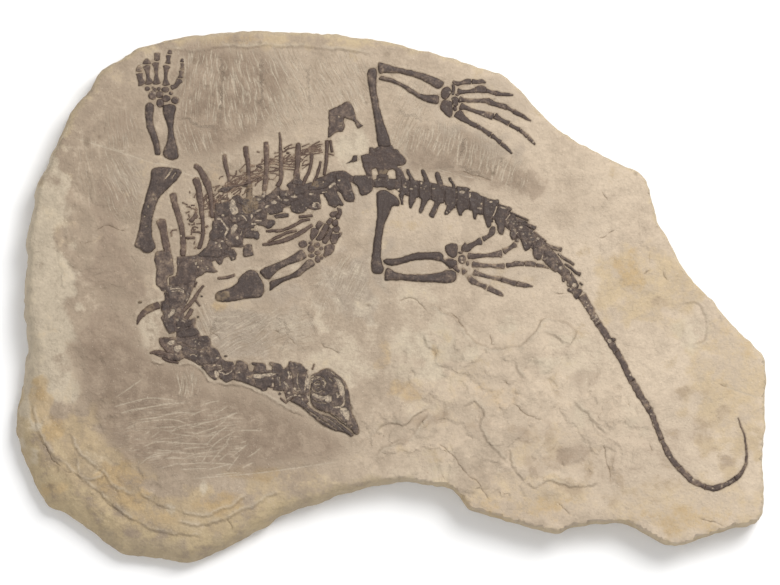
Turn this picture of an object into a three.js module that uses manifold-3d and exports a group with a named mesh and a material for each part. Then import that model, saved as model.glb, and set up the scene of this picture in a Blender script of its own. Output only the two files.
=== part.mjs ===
// A small long-necked, long-tailed reptile, flattened and kept in a slab of pale limestone.
//
// The slab lies on its back. Millimetres, +Z up out of the fossil face, +X along the slab
// towards the tail, +Y across it towards the raised right hand. The origin is the middle
// of the slab's box, on the surface that it rests on.
//
// Each bone is a solid of its own, set in a shallow seat in the stone. Its plan is a list of
// corners for a flat bone, or a list of [x, y, width] stations for a long one.

import * as THREE from "three";
import { mergeVertices } from "three/addons/utils/BufferGeometryUtils.js";
import Module from "manifold-3d";

// Driving dimensions

const SLAB_THICKNESS = 24;
const WIDEST_LEVEL = 9; // height of the slab's widest line
const LEDGE_LEVEL = 18; // height of the step part of the way up the worn rim
const UNDERCUT = 4; // the underside is this much smaller all round
const SEAT_DEPTH = 1.2; // how far a bone is sunk in the stone
const SEAT_GAP = 0.3; // free room round and under each bone

// How each family of bones stands out of the stone: its rise, and its rounding in plan.
const FAMILIES = {
  skull: { rise: 2.6, rounding: 0.7, colour: "#4b423b" },
  vertebra: { rise: 2.0, rounding: 0.3, colour: "#574c43" },
  plate: { rise: 1.5, rounding: 0.4, colour: "#4f463f" },
  limb: { rise: 2.4, rounding: 0.7, colour: "#453d37" },
  rib: { rise: 1.5, rounding: 0.45, colour: "#5b5047" },
};

const BONE_ROUGHNESS = 0.55;
const STONE_COLOUR = "#c9bba3";
const STONE_ROUGHNESS = 0.9;

// The slab's broken edge seen from above, clockwise from the left.
const SLAB_OUTLINE = [
  [-205, 20], [-205, 32], [-201.5, 50], [-199.5, 62], [-196, 70], [-191, 80], [-184, 95],
  [-179.5, 105], [-173.5, 112], [-167, 120], [-163.5, 127.5], [-155, 132], [-145.6, 138],
  [-136, 142], [-120, 145.5], [-98, 148.3], [-80, 150.3], [-55, 148.5], [-22, 146.7],
  [0, 143], [20, 138], [42, 131.3], [60, 125.4], [65.5, 123], [75, 113.5], [86, 102],
  [95, 93], [112, 83], [130, 73.7], [142, 67.3], [146, 55.5], [151, 40], [156, 32],
  [166, 14], [180, -2], [195, -20], [209.5, -34.5], [210.7, -55], [208.7, -90],
  [209.2, -108], [206.2, -126.6], [190, -131.2], [170.3, -137.8], [157.9, -140.6],
  [141.5, -133.2], [131, -127.9], [114, -128.7], [98.4, -131.9], [93.8, -133.6],
  [77.5, -130.6], [52.7, -122.7], [44.8, -120.4], [38.3, -112.3], [33, -108.8],
  [10, -105.3], [-20, -109.5], [-40, -116.5], [-60, -123.5], [-70, -129.5], [-90, -140],
  [-110, -149.7], [-116, -150.3], [-130, -147.5], [-153.5, -143.5], [-165, -135],
  [-182.6, -123], [-194.8, -115], [-202, -100], [-208.4, -85], [-210.7, -70],
  [-207.3, -50], [-204.3, -30], [-206.5, 0],
];

// The worn rim between the edge and the flat face: least width, and the wide stretches,
// each as [bearing in degrees, extra width, sharpness].
const RIM_LEAST = 4;
const RIM_STRETCHES = [
  [224, 27, 7], // the wide layered shoulder at the lower left
  [178, 7, 5],
  [108, 4, 6],
];

// Plan of each bone

const SKULL_BONES = [
  ["skull", [
    [-44.5, -45.2], [-41.3, -43.8], [-39, -42.3], [-37, -41.5], [-35, -41.4], [-32.5, -42.8],
    [-30, -44.8], [-27.5, -47], [-25.5, -49.5], [-24.2, -52.5], [-23.4, -56], [-22.8, -60],
    [-22.3, -64], [-21.3, -67.5], [-20, -70.5], [-18.6, -73], [-17.9, -76], [-18.2, -78],
    [-20.2, -78.2], [-22.3, -75.8], [-28, -71.6], [-31.2, -68.8], [-34.5, -66.8],
    [-41, -64.5], [-44, -62], [-45.2, -58], [-45, -54], [-44.9, -49],
  ]],
  ["lower_jaw", [
    [-56.5, -59.3], [-54.2, -57.6], [-52.3, -56.9], [-50.5, -58], [-48, -60], [-45.3, -63],
    [-42.5, -65.4], [-39, -66.8], [-35, -68], [-31.5, -69.8], [-28, -72.8], [-22.5, -76.9],
    [-20.9, -78.9], [-22.3, -79.7], [-24.5, -78.3], [-27, -77.2], [-31, -76.2],
    [-34.5, -75], [-38, -73.2], [-41, -70.8], [-47.5, -65.3], [-50, -63.2], [-53, -61.5],
  ]],
];

// From the skull back to the shoulder.
const NECK_VERTEBRAE = [
  [
    [-57.3, -37.7], [-54, -37.8], [-49.8, -39.2], [-50.2, -41], [-46.6, -42.3],
    [-47.6, -45], [-47, -50], [-47.4, -53], [-46.8, -55], [-49, -56.3], [-52, -55.8],
    [-54.5, -54], [-55.4, -47], [-55.8, -44], [-57.2, -42.3],
  ],
  [
    [-68, -38.1], [-66.2, -38.1], [-61.8, -39.2], [-60.8, -41], [-58.2, -42.8],
    [-57.6, -44.6], [-58.2, -47], [-60.2, -49.8], [-58.6, -52], [-59.5, -53.7],
    [-63, -54], [-66.2, -53.4], [-65.2, -51], [-65.4, -46.8], [-63.8, -45.2],
    [-66.6, -43.6], [-66.6, -40.2],
  ],
  [
    [-76, -47], [-72.5, -46.7], [-70, -45.8], [-67.5, -46], [-66.7, -48], [-66.9, -51.5],
    [-69, -52], [-69.6, -53.5], [-71.5, -54.1], [-73.3, -53], [-76.4, -51.8],
    [-76.8, -49.5],
  ],
  [
    [-86.2, -37], [-84.3, -36.9], [-81, -38.3], [-80, -40], [-79.7, -42.4], [-77.7, -43.1],
    [-76.3, -41.5], [-75.6, -39.9], [-77.8, -39.5], [-77.8, -38.2], [-72, -38.2],
    [-70.4, -39], [-69.7, -42.4], [-68, -43], [-68.2, -44.2], [-76.6, -44.6],
    [-77.4, -46.6], [-77.6, -50.8], [-79, -50.8], [-83, -49], [-87.8, -47.8],
    [-88, -44.6], [-87.4, -39.8],
  ],
  [
    [-106.2, -40.5], [-102, -40.3], [-98, -39.5], [-97.3, -41.8], [-99.2, -42.7],
    [-99, -45.3], [-97.4, -47.4], [-98.2, -47.9], [-100.6, -46.5], [-104, -43],
  ],
  [
    [-117, -30], [-116, -28.9], [-113.7, -29.7], [-110, -32], [-106, -32.4], [-101, -31.3],
    [-99, -29.7], [-97.5, -31], [-96, -33.5], [-95.8, -35.8], [-97.8, -38.2],
    [-102, -39.3], [-107, -39.2], [-112.5, -36.5], [-115.5, -34.7], [-117.4, -32.5],
  ],
  [
    [-120, -25], [-109, -24.8], [-106, -23.3], [-103, -23.2], [-101.3, -24.5],
    [-100.7, -28], [-102, -30.4], [-106, -31.2], [-110.5, -30.9], [-114, -28.7],
    [-116, -27.4], [-118.5, -28.3], [-120.3, -27.6],
  ],
  [
    [-127, 1.2], [-126.8, -3.2], [-128.3, -3.8], [-128.6, -9], [-127.4, -10],
    [-127.4, -13], [-128.4, -13.6], [-127, -17], [-124, -22.2], [-121.6, -21.8],
    [-120.7, -20.6], [-121, -14.5], [-122.8, -12.6], [-124.8, -12.6], [-125.2, -9.8],
    [-125.4, -5], [-125.6, 1.4],
  ],
  [
    [-124.8, 2], [-118.5, 2.1], [-116, 0.4], [-114.6, 2.4], [-113.5, 4.8], [-111.3, 5.8],
    [-110.9, 4.3], [-112, 1], [-113.6, -1.6], [-115.6, -4.6], [-118, -7], [-119.8, -8.3],
    [-121.5, -7.3], [-123.9, -9], [-124.5, -5],
  ],
];

const SHOULDER_BONES = [
  ["right_shoulder_blade", [
    [-132.8, 20.5], [-131.5, 24], [-129, 24.7], [-124, 24.5], [-122.8, 22.5],
    [-122, 18.5], [-121.3, 14], [-121.7, 11.2], [-124, 10.5], [-125.2, 8.5],
    [-125.4, 5], [-127.5, 2.6], [-129, 3.2], [-131.5, 5.5], [-131.8, 10], [-131.3, 14],
  ]],
  ["left_shoulder_blade", [
    [-119.8, 13], [-119.4, 17], [-118, 19], [-114.5, 20], [-111.9, 20.2], [-111, 18.2],
    [-109.6, 14.5], [-109.3, 12.6], [-110.2, 10.8], [-110.3, 8.3], [-112, 7],
    [-114, 5.9], [-117.5, 4.9], [-120, 4.7], [-123.8, 5], [-124.1, 8.3], [-122.5, 9.8],
    [-120.6, 10.6],
  ]],
  ["breast_bone", [
    [-110, 19.3], [-108, 19.7], [-103, 19.7], [-101, 18.4], [-99.5, 14.5], [-97.6, 12.6],
    [-99.5, 12.2], [-103.5, 12.6], [-105.5, 11], [-108, 9.9], [-109.2, 10.4],
    [-108.4, 12.6], [-108.6, 14.6],
  ]],
];

// From the shoulder back to the hip.
const BACK_VERTEBRAE = [
  [
    [-109.3, 21.3], [-107, 23.4], [-104.5, 25.8], [-102.3, 28], [-100.5, 27.8],
    [-98.8, 26.5], [-96, 25.8], [-94.6, 23], [-95.2, 20.9], [-99, 20.5], [-104, 20.8],
  ],
  [
    [-92.3, 40.2], [-90.5, 39.7], [-88.7, 38.3], [-89.3, 35], [-88, 33.3], [-85.5, 31.3],
    [-84.3, 30.5], [-83.5, 27.5], [-88, 26.9], [-91.5, 26.6], [-93, 28], [-93.2, 31],
    [-92.3, 33.3], [-91, 36], [-91, 38],
  ],
  [
    [-99.8, 41.3], [-97, 41.3], [-95.2, 38.8], [-93, 37.5], [-92.3, 35.5], [-93.8, 33],
    [-94.5, 31.2], [-97, 31], [-99.5, 29.3], [-101.5, 31], [-101.8, 34.5],
    [-100.3, 37],
  ],
  [
    [-98.3, 46.3], [-98.3, 50.3], [-95, 51.2], [-91.8, 52.6], [-90.2, 51], [-90.3, 47],
    [-91, 44.5], [-93, 43.3], [-95, 44], [-97.3, 44],
  ],
  [
    [-87.5, 46.3], [-85.3, 46.7], [-83, 44.8], [-82.3, 43], [-83.5, 41.3], [-85.5, 39.9],
    [-87.5, 39.4], [-89.5, 40.6], [-91.3, 41.8], [-91, 43.3], [-89, 44.8],
  ],
  [
    [-71, 47.8], [-68, 49.6], [-66.5, 50.4], [-63, 50.5], [-60.5, 49.5], [-61, 47],
    [-61.8, 45.9], [-65.5, 45], [-69, 45], [-70.2, 46.3],
  ],
  [
    [-56.5, 52.2], [-52.5, 53.3], [-49, 54.3], [-45.5, 55], [-42.5, 55.2], [-40.8, 54],
    [-41.2, 52.2], [-45, 50.6], [-46.5, 48.2], [-49.3, 45.9], [-52, 45.8],
    [-55.3, 46.3], [-56.3, 48], [-57, 50],
  ],
  [
    [-43.6, 62.7], [-42.5, 64.8], [-40, 65.2], [-38, 66.1], [-35.2, 66.5], [-34.5, 68.3],
    [-31.9, 68.4], [-31.8, 63.6], [-34.5, 61.6], [-36.3, 59.8], [-38.5, 58.8],
    [-43.8, 58.2], [-46.4, 58.4], [-46.2, 60.8], [-44.5, 61.6],
  ],
  [
    [-35, 59.6], [-31.9, 60.4], [-31, 59], [-30.6, 57.6], [-29.8, 56], [-28.8, 54],
    [-27.3, 52], [-26.5, 50.8], [-27.2, 49.5], [-29, 49.8], [-31, 48.6], [-33, 49],
    [-35, 50.2], [-35.6, 52], [-36.5, 54], [-38, 56.3], [-37.4, 57.7],
  ],
  [
    [-31.2, 68], [-29, 68.8], [-27.5, 69.5], [-25, 69.2], [-23.5, 67.6], [-22.2, 66.7],
    [-22.8, 65.2], [-23, 62.8], [-22, 60.5], [-21.6, 58], [-20.7, 56.5], [-20.3, 53.5],
    [-22, 52], [-25, 52], [-26.3, 53.5], [-27.5, 55.8], [-28.3, 57.5], [-29.5, 59],
    [-30.7, 61], [-31, 64],
  ],
];

const HIP_BONES = [
  ["hip_vertebra_1", [
    [-21.3, 66], [-20.3, 66.8], [-15.2, 66.8], [-13.8, 65.3], [-10.2, 64.6],
    [-10.1, 60.2], [-10.6, 58.5], [-12, 57], [-14, 55.8], [-16.5, 55.5], [-17.6, 56.8],
    [-18.2, 59], [-19.3, 61], [-21.2, 62.7], [-21.9, 64],
  ]],
  ["hip_vertebra_2", [
    [-9.4, 64.6], [4.5, 64.8], [4.7, 62.9], [3, 61.5], [2.2, 59.5], [1.5, 58.8],
    [-1.8, 58.8], [-3.2, 60], [-9.4, 60.2],
  ]],
  ["hip_blade", [
    [-17, 78.2], [-14, 79], [-12.3, 79.3], [-12, 82.6], [-9.8, 82.6], [-9.5, 80.2],
    [-8.3, 80.8], [-5, 82.3], [-0.3, 82.1], [0.8, 81.2], [2.3, 81.7], [4, 81],
    [5.5, 79], [7.5, 77], [8.8, 75], [8.4, 73.3], [6.5, 72.6], [3.8, 72.3], [4.3, 70.5],
    [5.8, 68], [6.6, 66.6], [5.2, 66], [2.9, 65.6], [2.9, 68], [1.6, 70.2], [-1, 69.9],
    [-2.2, 68], [-2.5, 65.4], [-7.2, 65.4], [-7.2, 68.5], [-8.6, 71], [-10.8, 70],
    [-11.4, 65.8], [-13.4, 66.5], [-14.3, 68.5], [-15.5, 71.5], [-16.3, 75],
  ]],
  ["pubic_plate", [
    [-35, 103.5], [-32, 104.8], [-29, 106], [-26, 108], [-23.5, 108.3], [-22, 106.5],
    [-20.5, 103.5], [-19.3, 98.5], [-18, 96.5], [-15.6, 95], [-18.6, 93.2],
    [-20.5, 97], [-22, 98], [-24.5, 98.5], [-26, 99.3], [-26.5, 97.5], [-25.8, 95],
    [-27, 91.5], [-30, 91.3], [-32.5, 90], [-34, 88.5], [-35.3, 88], [-35, 95],
  ]],
];

// From the hip to the start of the thin tail, each with its upper spine and lower process.
const TAIL_VERTEBRAE = [
  [
    [5.3, 65], [7, 65.3], [9.6, 64.8], [9.6, 55.7], [7.7, 55.8], [6.9, 53.6], [6.6, 50.4],
    [5.5, 50.4], [5.3, 52.6], [4.3, 55.5], [5.3, 57.5], [5.6, 59.5], [5.4, 62],
  ],
  [
    [10.1, 64.7], [9.7, 66.5], [8.8, 68.5], [8.9, 70.4], [10.1, 70.4], [11, 68],
    [13.2, 64.2], [15.2, 64], [15.2, 54.5], [14.3, 54.2], [13.6, 52.2], [12, 50],
    [11.2, 48.4], [10.2, 48.7], [10.1, 55.4],
  ],
  [
    [15.7, 64], [17, 63.9], [18.4, 63.2], [18, 66], [16.9, 68], [16.7, 69.6],
    [17.5, 70.3], [18.9, 69.8], [20, 67.5], [21.2, 64.5], [22, 62.2], [22.1, 53.6],
    [20.9, 52.8], [19.4, 50], [18, 47.2], [16.8, 45.6], [15.8, 46.2], [16.9, 53.4],
    [15.7, 54.4],
  ],
  [
    [22.6, 62], [25.6, 62.1], [25.3, 65], [24.5, 67], [24.7, 68.5], [25.8, 69],
    [27, 68.2], [28.2, 65.5], [29.4, 61.8], [29.7, 60.5], [29.7, 51.4], [27.5, 51.2],
    [26.4, 48.5], [25.1, 45], [24, 43], [22.3, 43.2], [21.3, 45], [22.6, 47.2],
    [24, 50.1], [24.3, 52], [22.6, 53.2],
  ],
  [
    [30.2, 60.2], [31.5, 59.2], [34.2, 59.6], [34.2, 61.5], [32.6, 64], [32.2, 65.6],
    [33.4, 65.8], [35.2, 63], [36.3, 60.6], [36.3, 48.4], [35.4, 48.3], [33.8, 47],
    [32, 44.8], [30.3, 44.7], [30, 46], [31, 48.5], [31.2, 50.2], [30.2, 50.8],
  ],
  [
    [36.8, 60.7], [41, 60.4], [44.4, 59.2], [43.3, 57.8], [43.3, 47.8], [41.4, 47.2],
    [40.2, 45.8], [39.5, 44.2], [38.3, 44.3], [37.7, 46], [36.8, 47.8],
  ],
  [
    [43.8, 57.4], [46, 57.7], [48, 57.2], [50, 55.8], [51.4, 54.8], [51, 50.5],
    [51, 44.6], [48.6, 44.8], [47.9, 43.5], [47.5, 42], [46.3, 42.2], [45.7, 45],
    [45.4, 47], [43.8, 47.6],
  ],
  [
    [52, 54.8], [55, 53.7], [58, 53.1], [60.2, 53.3], [60.6, 51.5], [59.6, 50.4],
    [58.3, 47.5], [57.2, 44.5], [57, 42.5], [57.3, 40.5], [56.3, 40.3], [56, 38.8],
    [55.2, 37.5], [54, 37.8], [53, 39.5], [52.4, 42.5], [51.6, 44.4], [51.6, 50],
  ],
  [
    [60.2, 49.7], [64, 49.6], [66.3, 49.3], [67.8, 48], [67.2, 46.7], [66.3, 46],
    [65.9, 44.3], [64.1, 42.2], [64, 38], [63.4, 35], [62.8, 33.7], [61.4, 33.8],
    [60.2, 35.2], [59.9, 38], [58.4, 40.4], [57.8, 42.5], [58, 44.5], [59, 47.5],
  ],
  [
    [67.1, 45.7], [69.5, 44.9], [70.5, 42.8], [74.5, 41.5], [76.2, 40.9], [75.6, 39.8],
    [70.8, 39.8], [70.9, 37.2], [69.8, 36], [67.3, 34.8], [66.2, 37], [65.4, 38.7],
    [64.7, 41.3], [66.6, 43.6],
  ],
  [
    [71.2, 34.6], [73, 35.5], [77, 35.7], [79.8, 35.4], [81, 33.4], [81.6, 31],
    [80.2, 29], [78.6, 27.2], [76.9, 26.5], [76.2, 24.8], [75.2, 24.5], [74.2, 25.8],
    [73.3, 28.5], [72.5, 31.5],
  ],
  [
    [82.3, 30.4], [84.2, 29.9], [84.9, 27.5], [85.2, 25], [84.6, 21.5], [83.8, 19.6],
    [82, 19.2], [80.5, 20.3], [79.5, 23], [79.3, 25.5], [80.8, 27.5],
  ],
];

// Stations of each rib, from its free end to the backbone.
const RIBS = [
  [[-129, 41.5, 5], [-127.5, 36, 4.2], [-126.5, 30, 4], [-125.6, 26.4, 4]],
  [[-122.5, 56.5, 3.5], [-121, 50, 3.5], [-119, 44, 3.4], [-117.4, 38, 3],
    [-116.3, 28, 3], [-116.6, 22, 3]],
  [[-109.5, 65, 4], [-108, 60, 3.8], [-107, 53, 3.5], [-105.7, 43, 2.4],
    [-105.3, 36, 2.2], [-105.8, 31, 2.2], [-107.6, 25.8, 2.2]],
  [[-110, 72.5, 2.4], [-107, 70, 3], [-103.2, 62.5, 4.2], [-101.7, 58, 3.4],
    [-100.6, 52, 2.6], [-100.1, 43.2, 2]],
  [[-81.5, 83, 2.8], [-81.3, 79, 3], [-80.2, 74, 2.4], [-79.7, 62, 2.4], [-79.2, 57.5, 2.2]],
  [[-70.2, 85.4, 2.4], [-69.8, 78, 3], [-69.8, 70, 2.6], [-70.3, 64, 3], [-71, 58.5, 2.6]],
  [[-52.1, 84.8, 2.4], [-52.3, 78, 3.6], [-52.5, 72, 2.8], [-53.5, 66.6, 2.6]],
];

const LIMB_BONES = [
  ["right_humerus", [
    [-134, 70], [-130, 71.5], [-124, 71.2], [-118.8, 70.3], [-117.3, 68.5], [-119, 65.5],
    [-123, 61.5], [-127, 57.5], [-130, 54], [-132, 49], [-133.5, 44], [-134, 38],
    [-133.5, 32], [-132, 26.4], [-133.5, 24.2], [-137, 23], [-141, 25.5], [-143.5, 27.5],
    [-142.5, 32], [-141, 38], [-140, 46], [-138, 53], [-136, 60], [-134.8, 65],
  ]],
  ["right_radius", [
    [-127.9, 106], [-124.5, 107], [-121, 106], [-120.8, 103], [-121.3, 100], [-122, 95],
    [-121.7, 90], [-120.5, 85], [-119.4, 80], [-119.7, 76.4], [-124, 75.7],
    [-127.3, 77.8], [-127.7, 81], [-126, 85], [-125.3, 90], [-125.4, 95],
    [-127.3, 100], [-128, 103],
  ]],
  ["right_femur", [
    [-12.5, 126.3], [-10.5, 127.3], [-8.5, 126.8], [-7.9, 124.5], [-8.2, 115],
    [-5, 100], [-3.5, 95], [-1.5, 90], [-0.3, 85], [-0.4, 83.1], [-6.8, 83.2],
    [-7.8, 86], [-8.7, 95], [-11.3, 110], [-13, 120], [-13.4, 124],
  ]],
  ["right_tibia", [
    [-6.9, 130.4], [-4, 130], [0, 128.6], [5, 127.3], [12, 125.8], [20, 123.5],
    [27, 121], [29.4, 119.5], [29, 117], [26, 115.8], [23, 117.5], [15, 121.5],
    [10, 123], [4, 124.3], [-2, 124.6], [-6, 124.2], [-7.1, 126.4],
  ]],
  ["right_fibula", [
    [-6, 122.7], [-2, 122.2], [5, 119.5], [12, 115.5], [16, 113], [20, 112.2],
    [26.5, 112], [27, 109.5], [26, 107.3], [20, 108.2], [16, 110.2], [10, 113.8],
    [5, 117.3], [0, 119.3], [-5, 120.2], [-6.9, 121.2],
  ]],
  ["left_humerus", [
    [-97, 1.5], [-95, 2.3], [-91, 3.6], [-88, 5], [-86, 7], [-85, 9.5], [-82.5, 12],
    [-79.5, 13.7], [-77, 13.5], [-74.7, 12], [-73.2, 9.5], [-71.8, 7], [-71, 4],
    [-71.2, 1], [-72.5, -1], [-75, -2], [-80, -2.2], [-85, -3], [-90, -4], [-95, -4],
    [-98, -3], [-98.5, -0.5],
  ]],
  ["left_radius", [
    [-73.6, 12.8], [-71.5, 14.5], [-66, 17], [-61, 19], [-56, 21.8], [-52, 24.5],
    [-50, 25.2], [-48.5, 24], [-47.3, 21.2], [-48.4, 19.8], [-52, 18.3], [-57, 16.7],
    [-61, 14.8], [-65, 12], [-67.2, 9.2], [-69, 8.5], [-72, 10.6],
  ]],
  ["left_ulna", [
    [-67.8, 7], [-64, 8.6], [-58, 10.6], [-54, 12.7], [-50.5, 15.5], [-48, 18.4],
    [-46, 19.8], [-44.2, 19.6], [-43, 18.3], [-43, 16.5], [-46, 14.5], [-49, 12],
    [-51, 10.3], [-56, 8.8], [-61, 6.5], [-65, 4], [-68, 2.2], [-68, 4.5],
  ]],
  ["left_femur", [
    [-3.5, 58.6], [-6.5, 58.2], [-8, 57], [-7.8, 45], [-9, 35],
    [-10.8, 20], [-11, 15], [-10, 12.2], [-7.5, 11.5], [-5, 12],
    [-4, 14.8], [-5.2, 18], [-5.4, 28], [-4.5, 35], [-3.3, 40], [-1.5, 44],
    [0, 47.5], [1.2, 49.6], [4.4, 49.6], [4.7, 51.5], [3.4, 54.4], [-0.6, 57.2],
  ]],
  ["left_tibia", [
    [-4.3, 18.8], [-3, 20], [2, 20.2], [6, 21], [10, 22.5], [15, 23.6], [20, 23.7],
    [28, 23.5], [29.3, 22], [29.7, 19.9], [33, 19.6], [36.6, 19.2], [37, 17],
    [35.6, 15.2], [33.6, 14.8], [28.5, 18.3], [24, 19.3], [17, 19.5], [12, 19],
    [7, 17.5], [0, 16.1], [-2.8, 17],
  ]],
  ["left_fibula", [
    [-2.9, 14.2], [-1.6, 14.9], [0, 14], [3, 12.5], [8, 11.3], [15, 11.3], [22, 11.7],
    [27, 12.5], [31, 13.6], [35, 13.4], [36.5, 12], [36.5, 9], [35.5, 7.3], [31, 6.5],
    [25, 6.8], [18, 7], [12, 7.5], [6, 8], [0, 7.8], [-3.4, 8], [-3.4, 11],
  ]],
];

const RIGHT_ULNA = [
  [-135.4, 107, 4], [-135.5, 104.8, 4.8], [-135.6, 99, 3.8], [-135, 95, 4.1], [-133.3, 90, 3.8],
  [-131.7, 85, 3.5], [-130.9, 81, 3.4], [-130.8, 78.8, 3.2],
];

// Solids

const wasm = await Module();
wasm.setup();

function solidOf(geometry) {
  const WELD = 1e-4; // corners nearer to each other than this become one
  const merged = mergeVertices(geometry, WELD);
  return new wasm.Manifold(new wasm.Mesh({
    numProp: 3,
    vertProperties: merged.attributes.position.array,
    triVerts: new Uint32Array(merged.index.array),
  }));
}

function geometryOf(solid) {
  const mesh = solid.getMesh();
  const geometry = new THREE.BufferGeometry();
  geometry.setAttribute("position", new THREE.BufferAttribute(mesh.vertProperties, 3));
  geometry.setIndex(new THREE.BufferAttribute(mesh.triVerts, 1));
  const flat = geometry.toNonIndexed();
  flat.computeVertexNormals();
  return flat;
}

// The corners of a plan as vectors, anticlockwise.
function corners(plan) {
  const points = plan.map(([x, y]) => new THREE.Vector2(x, y));
  return THREE.ShapeUtils.isClockWise(points) ? points.reverse() : points;
}

// The plan of a long bone: both its sides, with a blunt point past each end.
function shaftPlan(stations) {
  const END_BULGE = 0.2; // of the width there
  const centres = stations.map(([x, y]) => new THREE.Vector2(x, y));
  const left = [];
  const right = [];
  centres.forEach((centre, i) => {
    const before = centres[Math.max(i - 1, 0)];
    const after = centres[Math.min(i + 1, centres.length - 1)];
    const along = after.clone().sub(before).normalize();
    const side = new THREE.Vector2(-along.y, along.x).multiplyScalar(stations[i][2] / 2);
    left.push(centre.clone().add(side));
    right.push(centre.clone().sub(side));
  });
  const tip = (end, next, width) =>
    end.clone().add(end.clone().sub(next).normalize().multiplyScalar(width * END_BULGE));
  const last = centres.length - 1;
  const head = tip(centres[0], centres[1], stations[0][2]);
  const tail = tip(centres[last], centres[last - 1], stations[last][2]);
  return [head, ...left, tail, ...right.reverse()].map((point) => [point.x, point.y]);
}

// A plan grown all round by a distance, with its sharp corners kept short.
function grown(points, distance) {
  const LONGEST_CORNER = 2; // times the distance
  const LEAST_COSINE = 1e-3; // for a corner that folds back on itself
  const count = points.length;
  return points.map((point, i) => {
    const incoming = point.clone().sub(points[(i + count - 1) % count]).normalize();
    const outgoing = points[(i + 1) % count].clone().sub(point).normalize();
    const outward = new THREE.Vector2(incoming.y + outgoing.y, -incoming.x - outgoing.x);
    outward.normalize();
    const cosine = outward.x * incoming.y - outward.y * incoming.x;
    const stretch = 1 / Math.max(cosine, LEAST_COSINE);
    const reach = distance * Math.min(stretch, LONGEST_CORNER);
    return point.clone().addScaledVector(outward, reach);
  });
}

// One closed body through a stack of plans that have the same number of corners.
function loft(levels) {
  const count = levels[0].points.length;
  const top = (levels.length - 1) * count;
  const index = [];
  for (let start = 0; start < top; start += count) {
    for (let i = 0; i < count; i += 1) {
      const [a, b] = [start + i, start + ((i + 1) % count)];
      index.push(a, b, b + count, a, b + count, a + count);
    }
  }
  const cap = ({ points }) => THREE.ShapeUtils.triangulateShape(points, []);
  cap(levels[0]).forEach(([a, b, c]) => index.push(a, c, b));
  cap(levels.at(-1)).forEach(([a, b, c]) => index.push(top + a, top + b, top + c));
  const positions = levels.flatMap(({ z, points }) => points.flatMap(({ x, y }) => [x, y, z]));
  const geometry = new THREE.BufferGeometry();
  geometry.setAttribute("position", new THREE.Float32BufferAttribute(positions, 3));
  geometry.setIndex(index);
  return geometry;
}

// A bone's solid: its plan raised from the floor of its seat, rounded off above the stone.
function boneGeometry(plan, { rise, rounding }) {
  const SHOULDER = 0.45; // where the rounding starts, of the rise
  const points = corners(plan);
  return loft([
    { z: SLAB_THICKNESS - SEAT_DEPTH, points },
    { z: SLAB_THICKNESS + rise * SHOULDER, points },
    { z: SLAB_THICKNESS + rise, points: grown(points, -rounding) },
  ]);
}

// The seat that a bone lies in: its plan with room round it, open above the face.
function seatSolid(plan) {
  const CLEARANCE = 1;
  const points = grown(corners(plan), SEAT_GAP);
  return solidOf(loft([
    { z: SLAB_THICKNESS - SEAT_DEPTH - SEAT_GAP, points },
    { z: SLAB_THICKNESS + CLEARANCE, points },
  ]));
}

// How wide the worn rim is in the direction of a point.
function rimWidth(point) {
  return RIM_STRETCHES.reduce((width, [bearing, extra, sharpness]) => {
    const turn = point.angle() - THREE.MathUtils.degToRad(bearing);
    return width + extra * Math.max(0, Math.cos(turn)) ** sharpness;
  }, RIM_LEAST);
}

// The slab before the seats are cut: its outline drawn in towards the middle, level by level.
function slabSolid() {
  const LEDGE_SHARE = 0.4; // of the rim's width, how far in the step lies
  const outline = corners(SLAB_OUTLINE);
  const drawnIn = (distanceAt) => outline.map((point) =>
    point.clone().multiplyScalar(1 - distanceAt(point) / point.length()));
  return solidOf(loft([
    { z: 0, points: drawnIn(() => UNDERCUT) },
    { z: WIDEST_LEVEL, points: outline },
    { z: LEDGE_LEVEL, points: drawnIn((point) => rimWidth(point) * LEDGE_SHARE) },
    { z: SLAB_THICKNESS, points: drawnIn(rimWidth) },
  ]));
}

// Assembly

const numbered = (name, plans) => plans.map((plan, i) => [`${name}_${i + 1}`, plan]);

const BONES = [
  ["skull", SKULL_BONES],
  ["vertebra", numbered("neck_vertebra", NECK_VERTEBRAE)],
  ["plate", SHOULDER_BONES],
  ["vertebra", numbered("back_vertebra", BACK_VERTEBRAE)],
  ["plate", HIP_BONES],
  ["vertebra", numbered("tail_vertebra", TAIL_VERTEBRAE)],
  ["rib", numbered("rib", RIBS.map(shaftPlan))],
  ["limb", [...LIMB_BONES, ["right_ulna", shaftPlan(RIGHT_ULNA)]]],
];

const fossil = new THREE.Group();
let stone = slabSolid();

for (const [family, bones] of BONES) {
  const material = new THREE.MeshStandardMaterial({
    color: FAMILIES[family].colour,
    roughness: BONE_ROUGHNESS,
    metalness: 0,
  });
  for (const [name, plan] of bones) {
    const bone = new THREE.Mesh(boneGeometry(plan, FAMILIES[family]), material);
    bone.name = name;
    fossil.add(bone);
    stone = stone.subtract(seatSolid(plan));
  }
}

const slab = new THREE.Mesh(
  geometryOf(stone),
  new THREE.MeshStandardMaterial({
    color: STONE_COLOUR,
    roughness: STONE_ROUGHNESS,
    metalness: 0,
  }),
);
slab.name = "slab";
fossil.add(slab);

export default fossil;
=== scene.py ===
# %% [markdown]
# # A small long-necked reptile in a slab of limestone
#
# The animal sank into the lime mud of a quiet lagoon, was pressed flat as the mud hardened, and
# was freed from above by a preparator with a needle. What is left is a plate of pale stone with
# dark brown bones that stand a millimetre or two out of it. We model it as it lies on a table:
# the slab on its back, the bones on top, and a camera that looks straight down.
#
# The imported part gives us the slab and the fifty-nine largest bones as plain raised plans. Here
# each of them is made again with a rounded back, chipped edges and grain, and the bones that are
# too small to be solids of their own are added: fingers, toes, belly ribs and the thin tail.

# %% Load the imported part
import math

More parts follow.
